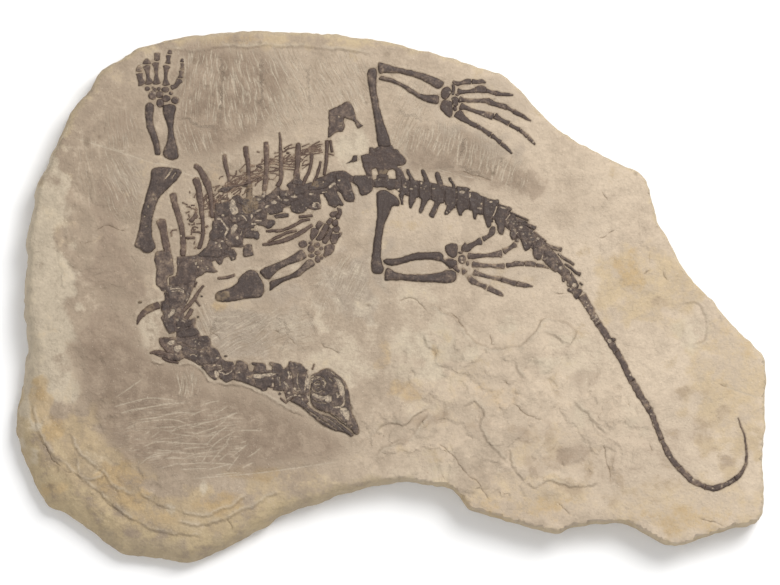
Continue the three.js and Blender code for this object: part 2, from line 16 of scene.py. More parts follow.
import bpy
import numpy as np
from mathutils.geometry import delaunay_2d_cdt
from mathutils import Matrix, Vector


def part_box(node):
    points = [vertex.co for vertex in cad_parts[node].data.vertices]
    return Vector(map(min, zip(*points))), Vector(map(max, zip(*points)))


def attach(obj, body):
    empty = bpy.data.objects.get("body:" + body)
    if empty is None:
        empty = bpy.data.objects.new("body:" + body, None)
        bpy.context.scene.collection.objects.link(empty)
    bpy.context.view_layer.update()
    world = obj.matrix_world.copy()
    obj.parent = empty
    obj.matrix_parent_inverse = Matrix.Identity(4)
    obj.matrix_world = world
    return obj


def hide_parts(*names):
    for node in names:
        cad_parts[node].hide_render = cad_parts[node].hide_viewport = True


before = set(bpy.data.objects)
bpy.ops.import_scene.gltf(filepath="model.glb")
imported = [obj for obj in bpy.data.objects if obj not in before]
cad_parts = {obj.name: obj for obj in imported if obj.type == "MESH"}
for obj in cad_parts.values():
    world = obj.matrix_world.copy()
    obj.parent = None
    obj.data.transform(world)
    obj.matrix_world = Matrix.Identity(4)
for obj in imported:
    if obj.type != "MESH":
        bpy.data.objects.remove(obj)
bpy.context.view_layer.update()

MM = 0.001  # a millimetre in metres; everything below is measured in millimetres
slab_low, slab_high = (np.array(corner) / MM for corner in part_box("slab"))
FACE = slab_high[2]
print("slab, mm:", (slab_high - slab_low).round(1), "with its face at", round(FACE, 2))

# %% [markdown]
# ## Reading the plan of each bone
#
# A packed bone is a prism, so its lowest corners are its plan. The side walls touch that level
# with one edge each, so we collect those edges and walk along them. Taking the plan from the
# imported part, and not from a second list here, means that the two can never drift apart.

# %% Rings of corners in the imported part
def rings_at(node, height):
    """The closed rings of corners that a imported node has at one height, widest first."""
    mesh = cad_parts[node].data
    corners = [tuple(round(value / MM, 3) for value in vertex.co) for vertex in mesh.vertices]
    beside = {}
    for face in mesh.polygons:
        level = [corners[i] for i in face.vertices if abs(corners[i][2] - height) < 0.02]
        if len(level) == 2:
            beside.setdefault(level[0], set()).add(level[1])
            beside.setdefault(level[1], set()).add(level[0])
    rings = []
    while beside:
        ring = [min(beside)]
        while True:
            onward = beside.pop(ring[-1]) & beside.keys()
            if not onward:
                break
            ring.append(min(onward))
        rings.append(np.array(ring)[:, :2])
    return sorted(rings, key=lambda ring: -np.ptp(ring, axis=0).sum())


plans = {node: rings_at(node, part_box(node)[0].z / MM)[0]
         for node in sorted(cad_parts) if node != "slab"}
print(len(plans), "packed bones, with", sum(map(len, plans.values())), "corners")

# %% [markdown]
# ## Curves through a few points
#
# Bone has no straight edges. A Catmull-Rom curve passes through every point that we give it, so
# a handful of points read off a bone make its whole outline. A long bone is easier to give as
# stations along its middle, each with a width; the same curve then carries the width as well.

# %% Smooth outlines
def curve(points, step, closed=True, bend=1.0):
    """A smooth line through the points, cut into short steps. Further columns are carried along.

    With less bend the line stays closer to the straight way from point to point.
    """
    p = np.asarray(points, float)
    if closed:
        padded = np.vstack([p[-1:], p, p[:2]])
    else:
        padded = np.vstack([2 * p[0] - p[1], p, 2 * p[-1] - p[-2]])
    made = []
    for a, b, c, d in zip(padded, padded[1:], padded[2:], padded[3:]):
        gaps = [math.dist(u[:2], v[:2]) ** 0.5 for u, v in ((a, b), (b, c), (c, d))]
        ta, tb, tc, td = np.cumsum([0, *gaps])
        count = max(1, round(math.dist(b[:2], c[:2]) / step))
        t = tb + (tc - tb) * np.arange(count)[:, None] / count
        ab = a + (b - a) * (t - ta) / (tb - ta)
        bc = b + (c - b) * (t - tb) / (tc - tb)
        cd = c + (d - c) * (t - tc) / (td - tc)
        abc = ab + (bc - ab) * (t - ta) / (tc - ta)
        bcd = bc + (cd - bc) * (t - tb) / (td - tb)
        straight = b + (c - b) * np.arange(count)[:, None] / count
        made.append(straight + bend * (abc + (bcd - abc) * (t - tb) / (tc - tb) - straight))
    return np.vstack(made if closed else [*made, p[-1:]])


SHAFT_STEP = 0.9  # mm from point to point along a long bone


def shaft(*stations, width=1.0, bulge=0.15):
    """The outline of a long bone through [x, y] or [x, y, width] stations."""
    line = curve([(*s, width)[:3] for s in stations], SHAFT_STEP, closed=False)
    along = np.gradient(line[:, :2], axis=0)
    along /= np.linalg.norm(along, axis=1)[:, None]
    side = np.stack([-along[:, 1], along[:, 0]], 1) * line[:, 2:] / 2
    head = line[:1, :2] - along[:1] * line[0, 2] * bulge
    tail = line[-1:, :2] + along[-1:] * line[-1, 2] * bulge
    return np.vstack([head, line[:, :2] + side, tail, (line[:, :2] - side)[::-1]])


def pebble(x, y, across, along, tilt=0):
    """The outline of a small rounded bone, by its middle and its two half widths."""
    angles = np.radians(np.arange(0, 360, 45))
    u, v = across * np.cos(angles), along * np.sin(angles)
    c, s = math.cos(math.radians(tilt)), math.sin(math.radians(tilt))
    return np.stack([x + c * u - s * v, y + s * u + c * v], 1)


def outlines(shapes):
    """The outlines of pebbles given as (x, y, half widths), long bones as stations, or plain corners."""
    made = []
    for shape in shapes:
        if isinstance(shape, tuple):
            made.append(pebble(*shape))
        elif len(shape[0]) == 3:
            made.append(shaft(*shape))
        else:
            made.append(shape)
    return made


def grown(loops, factor):
    """Each outline enlarged a little about its own middle, which narrows the gaps between bones."""
    loops = [np.asarray(loop) for loop in loops]
    return [loop.mean(0) + factor * (loop - loop.mean(0)) for loop in loops]


# %% [markdown]
# ## The bones of the hands and feet
#
# A wrist is a pavement of small round bones; a finger is a row of little hourglasses, wide at
# the joints and narrow between them, and shorter towards the tip. Each digit is given from the
# palm outwards. In these lists a row of three figures is a station of a long bone, a row of four
# by itself is a whole pebble, and a row of two is a corner of an uneven bone.

# %% Hands
right_hand = outlines([
    (-136.7, 115.6, 1.5, 1.3), (-133.6, 116.1, 0.8, 0.7), (-130.3, 115.5, 1.1, 1.1),
    (-126.7, 115.1, 2.2, 1.6), (-123.5, 113.1, 1.2, 1.1), (-133.8, 111.9, 2.5, 2.5), (-129.8, 112.4, 2.1, 2),
    (-126.2, 110.1, 2.6, 1.9), (-121, 109.2, 2.4, 2.1), (-129.4, 107.5, 2.3, 2.5), (-132.6, 114.8, 1.3, 1.2),
    [(-141.3, 124, 3.6), (-140.7, 121, 2.9), (-139.6, 118.2, 4.8)],
    [(-143.2, 125.4), (-139.7, 125.4), (-141.3, 129)],
    [(-137.2, 128.2, 4.2), (-136.8, 126, 2.8), (-136.4, 122.5, 2.2), (-135.5, 118.6, 4.6)],
    [(-139.4, 129.8), (-134.6, 129.8), (-137.1, 132.7)],
    [(-132.3, 130, 4.1), (-131.9, 127.5, 2.7), (-131.7, 122, 2.2), (-131.4, 118.6, 4.8)],
    [(-131.3, 131.8, 3), (-131.2, 135.6, 3.3)],
    [(-125.9, 128.3, 4.2), (-126.2, 126, 2.8), (-126.5, 121.5, 2), (-126.3, 117.8, 4.2)],
    [(-124.9, 134.3, 3.2), (-125, 132.3, 2.1), (-125.2, 130, 3.1)],
    [(-124.2, 135.6, 2.8), (-124.1, 137.3, 1.6)],
    [(-123.3, 116.1, 2.8), (-121, 117.2, 2.4), (-119.6, 119, 2.8), (-118.5, 120.4, 3.8)],
    [(-118.1, 122, 3.1), (-118, 123.6, 1.9), (-117.6, 125.5, 2.7)],
    [(-117.3, 126.7, 2.5), (-117.2, 128.2, 1.5), (-117, 129.7, 2.3)],
    [(-117.2, 130.8, 2.1), (-117.1, 132.6, 1.2)],
])
left_hand = outlines([
    (-49.3, 28.2, 2.3, 1.9), (-45, 28.9, 1.2, 0.8), (-44.8, 25.6, 2, 2.1), (-41.4, 27.9, 1.7, 1.4),
    (-39, 25.8, 1.1, 1), (-41.2, 23.4, 1.6, 1.2), (-44.7, 21.9, 1.8, 1.1), (-41, 19.9, 1.6, 2),
    (-38.7, 21, 0.8, 1.4),
    # the palm: four long bones side by side, and the finger bones pushed up against them
    [(-44.5, 36.7), (-42.1, 37), (-40.4, 35.3), (-42.4, 32.2), (-44.2, 30.3), (-45.2, 32.8)],
    [(-42.2, 38.5), (-40.4, 41.2), (-37.9, 39.8), (-39.1, 38), (-40.6, 36.2)],
    [(-37.3, 39.4), (-34.8, 38.1), (-35.5, 36.1), (-38.5, 31), (-41.2, 30.6), (-42.1, 31.4), (-40.2, 34),
     (-38.3, 37.5)],
    [(-34.8, 37.4), (-32.8, 36.2), (-33.5, 33.2), (-36.1, 28.8), (-37.9, 28.9), (-38.3, 30.4),
     (-35.5, 35.1)],
    [(-33.2, 34), (-29.7, 33.9), (-29.2, 32), (-31, 28.9), (-33.1, 28.5), (-34.1, 30.9)],
    [(-36.9, 26.9), (-33.9, 28.3), (-31.8, 27.4), (-32, 25.4), (-33.7, 22.6), (-36.4, 21.1), (-37.8, 22.2),
     (-37.3, 24.1)],
    [(-30.2, 48.5), (-28, 47.7), (-27.5, 45.9), (-28.9, 42.8), (-30.5, 42.6), (-31.2, 44.2), (-29.9, 45.8)],
    [(-33.2, 46.3), (-30.7, 46.8), (-30.3, 45.4), (-31.6, 43.6), (-33.5, 43.4), (-34.3, 44.8)],
    [(-36.2, 40.5), (-34.2, 42.9), (-32.5, 42.1), (-33.4, 39.9), (-34.7, 38.9)],
    [(-32.9, 40.9), (-31.2, 42.3), (-29.9, 41.4), (-29.6, 39.2), (-31.6, 38.2), (-33, 39)],
    [(-32.7, 37.3), (-29.7, 38.5), (-28.7, 37), (-29.4, 35), (-31.2, 34.9), (-32.6, 36)],
    [(-29.3, 34.6), (-27.6, 34.7), (-28.1, 32.8), (-29.2, 31.6)],
])
left_hand = grown(left_hand, 1.1)
print("bones in the right and left hand:", len(right_hand), len(left_hand))

# %% Feet
right_foot = outlines([
    [(29.8, 116), (32, 116.7), (33.6, 114.8), (33.2, 112.3), (30.7, 109.8), (29.2, 110.2), (28, 112.4),
     (28.5, 114.8)],
    [(28, 107.5), (30.1, 109.1), (33.8, 108), (34.5, 105), (33.9, 100.4), (32.9, 99.7), (30.5, 101.3),
     (28, 104.1)],
    [(34.3, 118), (35.7, 117.4), (35.8, 114.9), (35.4, 112.6), (34.2, 112.2), (34, 114.2), (34.2, 115.8)],
    [(34.1, 110.3), (36.3, 111), (37.9, 110), (37.7, 107.8), (36.7, 105.6), (35.2, 106.2), (34.3, 108.6)],
    [(35, 105.5), (36.7, 105.2), (37, 103.8), (35.8, 102.9), (34.9, 104)], (37.2, 112.3, 1.1, 0.7),
    [(35, 119.5, 1.4), (37.3, 118.6, 2.4), (39.6, 118.9, 1.9), (42, 119.6, 2.8), (44.4, 119.6, 2.6)],
    [(45.8, 119.7, 2.6), (49, 119.6, 2.1), (51, 119.8, 2.3), (53, 119.1, 0.8)],
    [(38, 114, 3.4), (41, 113.9, 1.9), (44, 114.2, 1.9), (46.8, 114.7, 2.7)],
    [(47.6, 115, 3), (50, 115.4, 4.1), (53, 114.9, 3.2)],
    [(53.7, 114.6, 2.5), (56, 113.9, 2), (58.4, 113.3, 2.3)],
    [(59.1, 113, 2.7), (62, 112.6, 1.9), (66, 112.3, 1.7), (68.3, 112, 0.7)],
    [(39, 109.7, 3.4), (42, 109.1, 2.3), (48, 108.9, 1.9), (52, 109, 2.5), (54.7, 108.7, 3.3)],
    [(55.3, 108.4, 3.3), (58, 107.2, 2.5), (61, 106.3, 2.6), (64.4, 105.3, 2.9)],
    [(65, 104.9, 2.1), (67, 103.9, 1.6), (68.5, 103, 1.9)],
    [(69.1, 102.7, 2.8), (71.5, 101.5, 2.3), (73.4, 100.5, 2)],
    [(73.9, 100.2, 2.2), (76, 98.8, 1.5), (78.4, 97.6, 0.7)],
    [(39.5, 105.6, 3.7), (44, 104.2, 2.2), (49, 102.4, 2.1), (53, 101.2, 2.9), (56.6, 100.1, 3.4)],
    [(58.7, 100.2, 3.4), (62, 98, 2), (66, 96.2, 2.6)],
    [(66.9, 95.2, 2.1), (69.4, 93.8, 1.7), (71.8, 92.6, 2.4)],
    [(72.6, 92, 2.1), (74.6, 90.4, 1.8), (76.6, 88.8, 2.3)],
    [(77.3, 87.9, 2.1), (78.6, 86.5, 1.8), (80.6, 84.3, 0.8)],
    [(37.6, 101.8, 5), (39.6, 99.6, 4.1), (42, 98, 2.9), (44.5, 96.4, 2.4), (47.6, 94.8, 2.9)],
    [(48.8, 94.2, 2.7), (52, 92.4, 2), (55.6, 90, 2.7)],
    [(56.5, 89, 2.4), (59, 87.3, 1.8), (61.3, 85.5, 2.6)],
    [(62.2, 84.6, 2.2), (65, 82, 1.7), (67.8, 79.2, 0.8)],
])
right_foot = grown(right_foot, 1.06)
left_foot = outlines([
    [(31.1, 27.9), (34.7, 28.6), (37.1, 27.8), (37.4, 24.4), (36.9, 21.9), (35.1, 20.6), (33.3, 21.1),
     (30.8, 23.6), (30.3, 26.9)],
    (39.9, 19.7, 2.2, 2.5), (39, 23.5, 1.4, 0.7), (42.9, 17.6, 0.9, 1.4),
    [(39.8, 14.9), (42.7, 12.9), (40.1, 11), (39.6, 13)],
    [(30.8, 19.7), (34.7, 20.1), (36.9, 18.3), (37.2, 15.4), (38.6, 13.3), (37.9, 12.2), (36.1, 13.3),
     (34.7, 14.7), (32.9, 14.3), (31.5, 17.4)],
    [(40.4, 26.8, 5), (42.6, 26, 4.6), (45, 27.4, 3), (47.5, 28.9, 2.9), (50.3, 30.1, 4.2)],
    [(51.8, 31.2, 3.1), (54, 32.4, 2.2), (56.4, 34.4, 3.2), (57, 36.5, 3.2), (57.3, 38, 2.2)],
    [(43.4, 21.5, 3.6), (47, 21.6, 3.1), (51, 21.8, 2.2), (56, 22.2, 2.5), (61.8, 22.9, 4.2)],
    [(63.3, 24.2, 3.6), (65.4, 25.3, 2.3), (67.6, 26.8, 2.3), (69.6, 28.3, 3.4)],
    [(70.4, 29.8, 2.4), (71, 32, 1.6)],
    [(45.8, 17, 3.5), (51, 16.4, 2.4), (57, 16, 2), (61, 15.9, 2.9), (63.4, 15.9, 3.3)],
    [(64.9, 16.3, 2.9), (67, 16.6, 2.3), (70.6, 17.4, 2.9), (74.4, 17.2, 2.1)],
    [(75.1, 17.3, 2.7), (78, 17.4, 3), (81, 16.6, 2.3)],
    [(81.6, 16.4, 2), (85, 15.9, 1.6), (88.4, 14.7, 0.6)],
    [(46.4, 12.5, 3.5), (50, 11.2, 2.3), (56, 9.6, 1.9), (61.4, 8.7, 2.9)],
    [(62, 8.4, 2.9), (66, 7.2, 2.5), (70, 6.2, 2.9)],
    [(70.7, 6.1, 3.2), (74, 5.4, 2.7), (77, 4.9, 2), (79.4, 4.5, 0.6)],
    [(43.5, 9.8, 2.3), (45.6, 7.6, 3.3), (49, 5.9, 2.5), (53.2, 4.2, 2.9)],
    [(54.6, 3.7, 3.1), (58, 1.9, 2.5), (60.6, 0.6, 2.5), (63, -0.9, 0.7)],
])
print("bones in the right and left foot:", len(right_foot), len(left_foot))

# %% [markdown]
# ## Ribs, belly ribs and splinters
#
# Between the large ribs lie thinner ones, and across them the belly ribs: bony hairs that held
# the animal's underside. They cross and overlap, as they do on the real slab, because they fell
# in a heap when the body rotted.

# %% Thin bones of the trunk
small_ribs = outlines([
    [(-93.5, 78.5, 2), (-93, 74, 2.3), (-92, 70, 2), (-91, 65, 1.6), (-91, 61.6, 1.2)],
    [(-62.5, 91, 0.8), (-62, 85, 1.6), (-61.7, 77, 2.4), (-61.5, 70, 2.6), (-62, 64, 2.5),
     (-63.6, 60.6, 2.6)],
    [(-44.5, 79, 2.2), (-44.8, 74, 2), (-46, 69, 2), (-48, 65, 2.2), (-49.8, 61, 2)],
    [(-39.3, 74.5, 1.6), (-40.5, 70, 1.8), (-42.3, 65, 1.6), (-43.8, 62, 1.4)],
    [(-35.8, 86.5, 2.4), (-36, 80, 2), (-36.3, 75, 2), (-37, 70, 1.8), (-37.5, 67, 1.4)],
    [(-34, 86.5, 1.4), (-33, 80, 1.6)],
    [(-70, 35.5, 1.4), (-63, 35.8, 1.8), (-58, 37, 1.9), (-52, 40, 2), (-49, 41.6, 1.9), (-45.5, 42, 1.4)],
    [(-69, 29.3, 1.4), (-64, 32, 1.8), (-58, 34.6, 1.8), (-53, 36, 1.4)],
    [(-72, 28, 1.6), (-65, 29, 2.2), (-58, 31, 2.6), (-50, 35, 2.6), (-44, 39, 1.8)],
    [(-97, 9, 1.4), (-92, 9.5, 1.8), (-87.5, 11, 1.6)], [(-112.2, 41, 2.6), (-109, 45.2, 2.4)],
    [(-112, 35, 1), (-108, 35, 1.1), (-105, 34, 1.4)], [(-115, 31.8, 1.3), (-110, 31.8, 1.5)],
    [(-75.5, 72.3, 1.4), (-74, 72, 1.6), (-72.3, 71, 1.4)],
    [(-92, 61.2, 1.4), (-87, 60.8, 1.6), (-82, 62.4, 1.8), (-77.5, 64.4, 1.6), (-73, 66.2, 1)],
    [(-58.5, 79.6, 1.4), (-57, 79.3, 1.2)], [(-96.6, 52.6, 1.2), (-95.3, 53.6, 1.2), (-91, 53.8, 1.2)],
    [(-104.8, 5, 1.2), (-108, 1, 1.8), (-110.5, -3, 2.2), (-115, -8, 2.2), (-119, -12, 2),
     (-120.4, -13.4, 1.6)],
    [(-108.8, 7, 0.9), (-110, 4, 1)], [(-111.5, -8, 2.2), (-113, -11, 2.5), (-115, -13.5, 2.2)],
    [(-109.5, -3, 1.1), (-107, -6.5, 1)],
    [(-129, -24.5, 2), (-128.5, -27, 2.4), (-126.5, -29.5, 2.4), (-124.5, -31.7, 2.2), (-121.6, -32.6, 1.6)],
    [(-127.6, -24.6, 1.3), (-124, -24.9, 1.3), (-120.9, -25, 1.2)], [(-122, -29, 1.1), (-118, -29.4, 1.1)],
    [(-135, -32.8, 0.8), (-131.5, -32.3, 2.4), (-127, -33, 2.6), (-123.9, -34.4, 1.6)],
    [(-128, -35.7, 1.2), (-124.6, -37.2, 1.6), (-119, -38.3, 1.2)],
    [(-130, -6, 4), (-134, -7.5, 4), (-138, -10, 3.4), (-141, -13.5, 2.4), (-142, -16.5, 0.9)],
    [(-59.2, -54.5, 1), (-58.2, -58, 1)], [(-62, -58, 1), (-60, -59.5, 1.2), (-58.4, -61, 1)],
    [(-44, -42, 1), (-43, -39, 0.9)], [(-51.5, 43.5, 1.8), (-44, 44.3, 1.6)],
    [(-35, 60, 1.6), (-31, 62.5, 1.6)], [(-126.2, 28, 3.4), (-125.5, 25.5, 3.7), (-125.1, 23.4, 3.9)],
])
belly_ribs = [shaft(*line, width=0.75) for line in [
    [(-61.5, 76.8), (-57, 76.2), (-53.5, 75.8)], [(-61, 74.2), (-57.5, 74.7), (-54, 75.2)],
    [(-61, 73.8), (-57, 73.1), (-54, 72.8)], [(-61.5, 72.2), (-57, 71.8), (-53.5, 71.5)],
    [(-60.5, 70.8), (-57, 70.2), (-53.5, 70)], [(-68, 71.6), (-65, 71.1), (-61.5, 70.4)],
    [(-68, 73.4), (-65, 73.2), (-62, 72.4)], [(-68, 76.3), (-64, 75.6), (-61.5, 74.9)],
    [(-65.2, 77.3), (-63.5, 77.8), (-61.8, 78.6)], [(-68, 68.3), (-64.8, 67.9), (-63, 66.8)],
    [(-60, 81.9), (-58, 83.2), (-55.5, 84.2)], [(-59.5, 81.1), (-57, 82), (-53.5, 82.7)],
    [(-50, 79.2), (-47.5, 80), (-44, 80), (-41, 80.8), (-38.7, 81.2)],
    [(-50, 78.4), (-45, 78.8), (-39.8, 79.5)], [(-49.5, 81.2), (-46, 82.2), (-42, 83.6), (-39.5, 84.5)],
    [(-46, 82.4), (-43, 84.6), (-40, 85.9)], [(-42.5, 82), (-40.5, 81.6), (-39.4, 82.2)],
    [(-50, 72.3), (-48, 72.8), (-45.8, 73.6)], [(-35, 79), (-32, 78.3)],
    [(-100, 60.2), (-98, 60.6), (-96, 61.2)], [(-91, 57.5), (-87, 60), (-84.5, 60.6)],
    [(-89.5, 57), (-86.5, 59), (-84, 59.8)], [(-88.5, 56), (-86, 57.8), (-83.5, 59.6)],
    [(-85.3, 55.5), (-84, 58.5)], [(-97.5, 54.5), (-96, 56)],
    [(-90.5, 67), (-87.8, 66.4), (-85.5, 66.3), (-82.5, 67.5)],
    [(-88.5, 65.5), (-87.5, 66.8), (-86.5, 67.8)], [(-84.8, 68.6), (-83.3, 70.1)],
    [(-81.5, 67.7), (-79.5, 68.7), (-75, 70)], [(-79.5, 65.2), (-74, 66.6), (-70.3, 67.5)],
    [(-78.5, 62.9), (-74, 64.2), (-71, 65)], [(-75.2, 70.6), (-73.8, 69.3)], [(-72, 76), (-72.5, 74.2)],
    [(-75.3, 80.2), (-73.8, 79.8)], [(-79, 71.7), (-76.5, 71.9)], [(-84, 64.6), (-79, 66.4)],
    [(-123.6, 34.4), (-122.5, 36), (-120, 36.3)], [(-123, 34.8), (-123, 32.6)],
    [(-115, 45.8), (-112.8, 46.6)], [(-111.8, 35.5), (-110.8, 37.8), (-108, 37.4)],
    [(-109, 39.6), (-106, 39.6), (-105, 38)], [(-112, 50), (-110, 50)], [(-112, 48.2), (-110.6, 48.2)],
    [(-114.5, 49.4), (-112, 48.8)], [(-117, 51.5), (-114, 50.3)], [(-101.8, 47), (-101.8, 43.8)],
    [(-105.5, 47.6), (-101.5, 48.2)],
]]
heap = np.random.default_rng(31)
FALLEN_RODS, CRUMBS = 150, 34
TOWARDS_CHEST = 1.5  # above 1, more of the rods lie at the start of the line


def facing(turn):
    """A step of 1 mm in a direction given in radians."""
    return np.array([math.cos(turn), math.sin(turn)])


heap_line = curve([(-102, 50), (-97, 56), (-89, 61), (-78, 67), (-66, 72.5), (-54, 77.5), (-40, 82)],
                  0.5, closed=False)
for _ in range(FALLEN_RODS):
    i = 1 + int(heap.random() ** TOWARDS_CHEST * (len(heap_line) - 2))
    turn = math.atan2(*(heap_line[i + 1] - heap_line[i - 1])[::-1]) + heap.normal(0, 0.35)
    across = np.array([-math.sin(turn), math.cos(turn)])
    middle = heap_line[i] + heap.normal(0, 2.7) * across
    half = heap.uniform(1.2, 3.8) * facing(turn)
    bent = middle + heap.normal(0, 0.4) * across
    belly_ribs.append(shaft(middle - half, bent, middle + half, width=heap.uniform(0.45, 0.8)))
for _ in range(CRUMBS):  # between the first ribs
    middle = np.array([-108, 42]) + heap.normal(0, 1, 2) * [3, 6.5]
    turn = heap.uniform(0, math.pi)
    half = heap.uniform(0.5, 1.2) * facing(turn)
    belly_ribs.append(shaft(middle - half, middle, middle + half, width=heap.uniform(0.5, 1.1)))
print("small ribs:", len(small_ribs), " belly ribs:", len(belly_ribs))

# %% [markdown]
# ## Pieces of the backbone
#
# Seen from the side, a vertebra is a drum with a plate of bone rising from it. Crushed, the drums
# and plates spread into plaques with ragged edges, so these are drawn corner by corner.

# %% Plaques of the neck, back and tail
backbone_pieces = outlines([
    [(-95, -37.4), (-88.7, -37.7), (-88.6, -39.2), (-89.6, -40), (-90, -41.2), (-91, -43), (-92.6, -44),
     (-94, -43), (-94.7, -41.4), (-95.4, -39.3)],
    [(-95, -47.6), (-96.3, -46.2), (-96.3, -44.4), (-92.6, -45.3), (-89.6, -44.4), (-88.6, -45.2),
     (-88.4, -47.6), (-92, -49.5)],
    [(-119.9, -20.9), (-118, -20), (-114, -19.3), (-110.5, -18), (-108.8, -19), (-107.8, -21.5),
     (-109.5, -23.5), (-114.5, -24.2), (-118, -24.4), (-119.8, -23)],
    [(-110, -13), (-113, -14.5), (-116, -16), (-115.5, -18.5), (-113, -18.3), (-111, -16.5),
     (-109.5, -15.5)],
    [(-119.8, -10.7), (-117.9, -12.5), (-117.2, -15), (-117.2, -17.5), (-118, -19.3), (-119.8, -19.8),
     (-120.2, -15)],
    [(-123.4, -35.2), (-121, -33.6), (-118.2, -33.8), (-117.3, -35.8), (-118, -37.2), (-121.6, -37.2)],
    [(-97.3, 58), (-95, 60), (-91, 60.8), (-86, 60.6), (-82, 61.6), (-78.3, 63), (-78, 60.4), (-81, 60.2),
     (-84, 60.6), (-88, 59.6), (-91, 58), (-93, 56.8), (-95, 57.3)],
    [(-87.2, 54.3), (-85, 55.5), (-83, 54.2), (-81, 54.5), (-78, 54), (-77, 50.5), (-77.5, 47.5),
     (-79, 45.5), (-80.8, 45.6), (-82.5, 47.5), (-83, 49.5), (-86, 51.2)],
    [(-86, 38.6), (-83.5, 39.5), (-80.5, 40.8), (-79, 40.3), (-78.5, 38), (-80.5, 36.6), (-82.5, 35.9),
     (-84, 36.5), (-85.5, 37)],
    [(-82.3, 34.6), (-80, 35.6), (-77, 36), (-74.5, 35.5), (-73.6, 33.8), (-74, 31.5), (-75, 30.6),
     (-76.5, 31.5), (-82, 31.8)],
    [(-82.4, 27), (-80.5, 28.3), (-78, 28), (-77.6, 25), (-76.8, 22), (-79, 21.5), (-82, 21), (-83, 22.5),
     (-82.8, 25)],
    [(-93.3, 25.3), (-88, 25.5), (-86.3, 22.5), (-87, 19.5), (-89.5, 19), (-91, 22), (-93.6, 23)],
    [(-76.3, 46), (-73, 46.5), (-71, 45.4), (-69.9, 44.1), (-71, 42.4), (-74, 42.5), (-76.3, 43.3)],
    [(-72, 41.4), (-68, 41.7), (-65.4, 40.5), (-66.5, 38), (-69, 36.9), (-72, 38.5), (-75, 39)],
    [(-65.8, 44.4), (-64.5, 42.8), (-57.4, 43.5), (-57.5, 45.4), (-60, 45.6)],
    [(-76.3, 49.4), (-73, 50.6), (-71.7, 51.7), (-72.2, 55.1), (-77.5, 55.3), (-79.2, 54.3), (-78.6, 50.4)],
    [(-70.9, 51.3), (-67.5, 52.5), (-66.8, 53.6), (-64.2, 54), (-63.7, 55.5), (-65, 57.6), (-68, 56.3),
     (-70.5, 55.2)],
    [(-62.6, 54.4), (-60.5, 54.3), (-57.2, 54.9), (-56.6, 55.8), (-57, 57.8), (-58.5, 58), (-61, 58.4),
     (-62.3, 59.2)],
    [(-55.3, 56.5), (-52.5, 55.8), (-49.2, 56.2), (-48, 57.3), (-47.9, 59.8), (-49.4, 60.6), (-52, 61.9),
     (-55.2, 60.6), (-55.8, 58.3)],
    [(-62.8, 51.8), (-60, 50.4), (-57.9, 50.2), (-57.9, 52.3), (-60, 52.9)],
    [(-54.6, 65.4), (-51.5, 64.3), (-50.2, 61.6), (-52, 61.2), (-55.6, 62.3)],
    [(-21.4, 78), (-19.1, 78), (-19.1, 74.8), (-22, 74.2), (-25, 73.4), (-22, 75.8)],
    (-85.3, 35.4, 0.9, 1.1), (-77.4, 37.7, 0.9, 0.5), (-96, 18, 0.9, 1.4), (-140.5, -4.3, 1.1, 0.7),
    (-106, -1, 0.7, 0.5), (-108, -12.5, 0.6, 0.5), (-92.5, -34.5, 1, 0.5), (-62.2, -55.6, 0.8, 0.7),
    (-43, 51.2, 2.6, 1.6, 20), (-12, 62.5, 0.8, 0.9),
])
tail_pieces = outlines([
    [(85.6, 24.6), (87.5, 25.2), (89.5, 24.4), (91.5, 22.6), (92.8, 21.6), (94.3, 19.6), (95.6, 17.8),
     (94.2, 16.4), (93.4, 14.8), (94.2, 13.4), (92.3, 12.5), (90.2, 13.8), (88.5, 15.6), (86.8, 16.8),
     (85.9, 19), (85.9, 22)],
    [(96.5, 16.2), (98.3, 14.8), (100, 13.4), (100.2, 12.3), (98.5, 11.3), (97.9, 9.8), (98.2, 8.5),
     (97.2, 6.9), (95.9, 7.1), (95.5, 9.5), (95.4, 12.5), (95.1, 14.3)],
    [(101.2, 12.8), (102.6, 10), (104.2, 7.2), (105.2, 5.1), (104.5, 3.9), (101.3, 4.5), (99.2, 4.3),
     (98.4, 5.5), (99.3, 7.5), (100.8, 9.8), (100.6, 11.6)],
    [(98.8, 3.2), (101, 3.8), (104.8, 3.2), (106.6, 2.9), (107.4, 1.9), (106.6, 0.3), (105.2, -1.9),
     (103.9, -2.7), (102.4, -1.2), (101.6, 1), (99, 1.7)],
    [(59.4, 41.4), (63.4, 42), (63.9, 38.4), (62.8, 34.2), (60.6, 34), (59.6, 37)],
    [(66.8, 35.8), (70.4, 35.2), (70.2, 31.4), (68, 30.6), (66.6, 33)],
    [(72.8, 35.4), (78, 34), (78.8, 28.6), (77.6, 25.6), (75.6, 24.8), (73.2, 29)],
    [(79.2, 28.2), (84, 27.6), (84.6, 21.4), (82.8, 19.2), (80.6, 20.6), (79.4, 24)],
    [(59, 50.8, 1.1), (63, 49.4, 1.3), (67.2, 47.8, 2)], [(66.8, 46, 1), (72, 43.8, 1.2), (77.2, 41.6, 1)],
    [(68, 43.6, 1.6), (72, 42, 1.6), (76.6, 40.4, 1.1)], [(73, 40, 1.6), (77, 38.9, 1.9), (80.9, 37.2, 2.3)],
    [(79, 35.6, 0.9), (83, 33, 1), (87, 29.8, 0.9)], [(85.8, 28.4, 2.2), (90, 26.6, 2), (95.4, 25.2, 2.4)],
    [(93.6, 23, 0.9), (96, 20.8, 1.5), (100, 18.6, 1.7), (102.6, 16.8, 1.4)],
    [(97.4, 17, 1), (99.5, 16, 1.4), (101.8, 14, 1.5), (103.5, 12.5, 1.6), (106, 11.3, 2.2)],
    [(105.7, 6.6, 0.9), (107.3, 5.4, 0.9)], (124.4, -25.3, 1.5, 1.2),
])
print("backbone pieces:", len(backbone_pieces), " tail pieces:", len(tail_pieces))

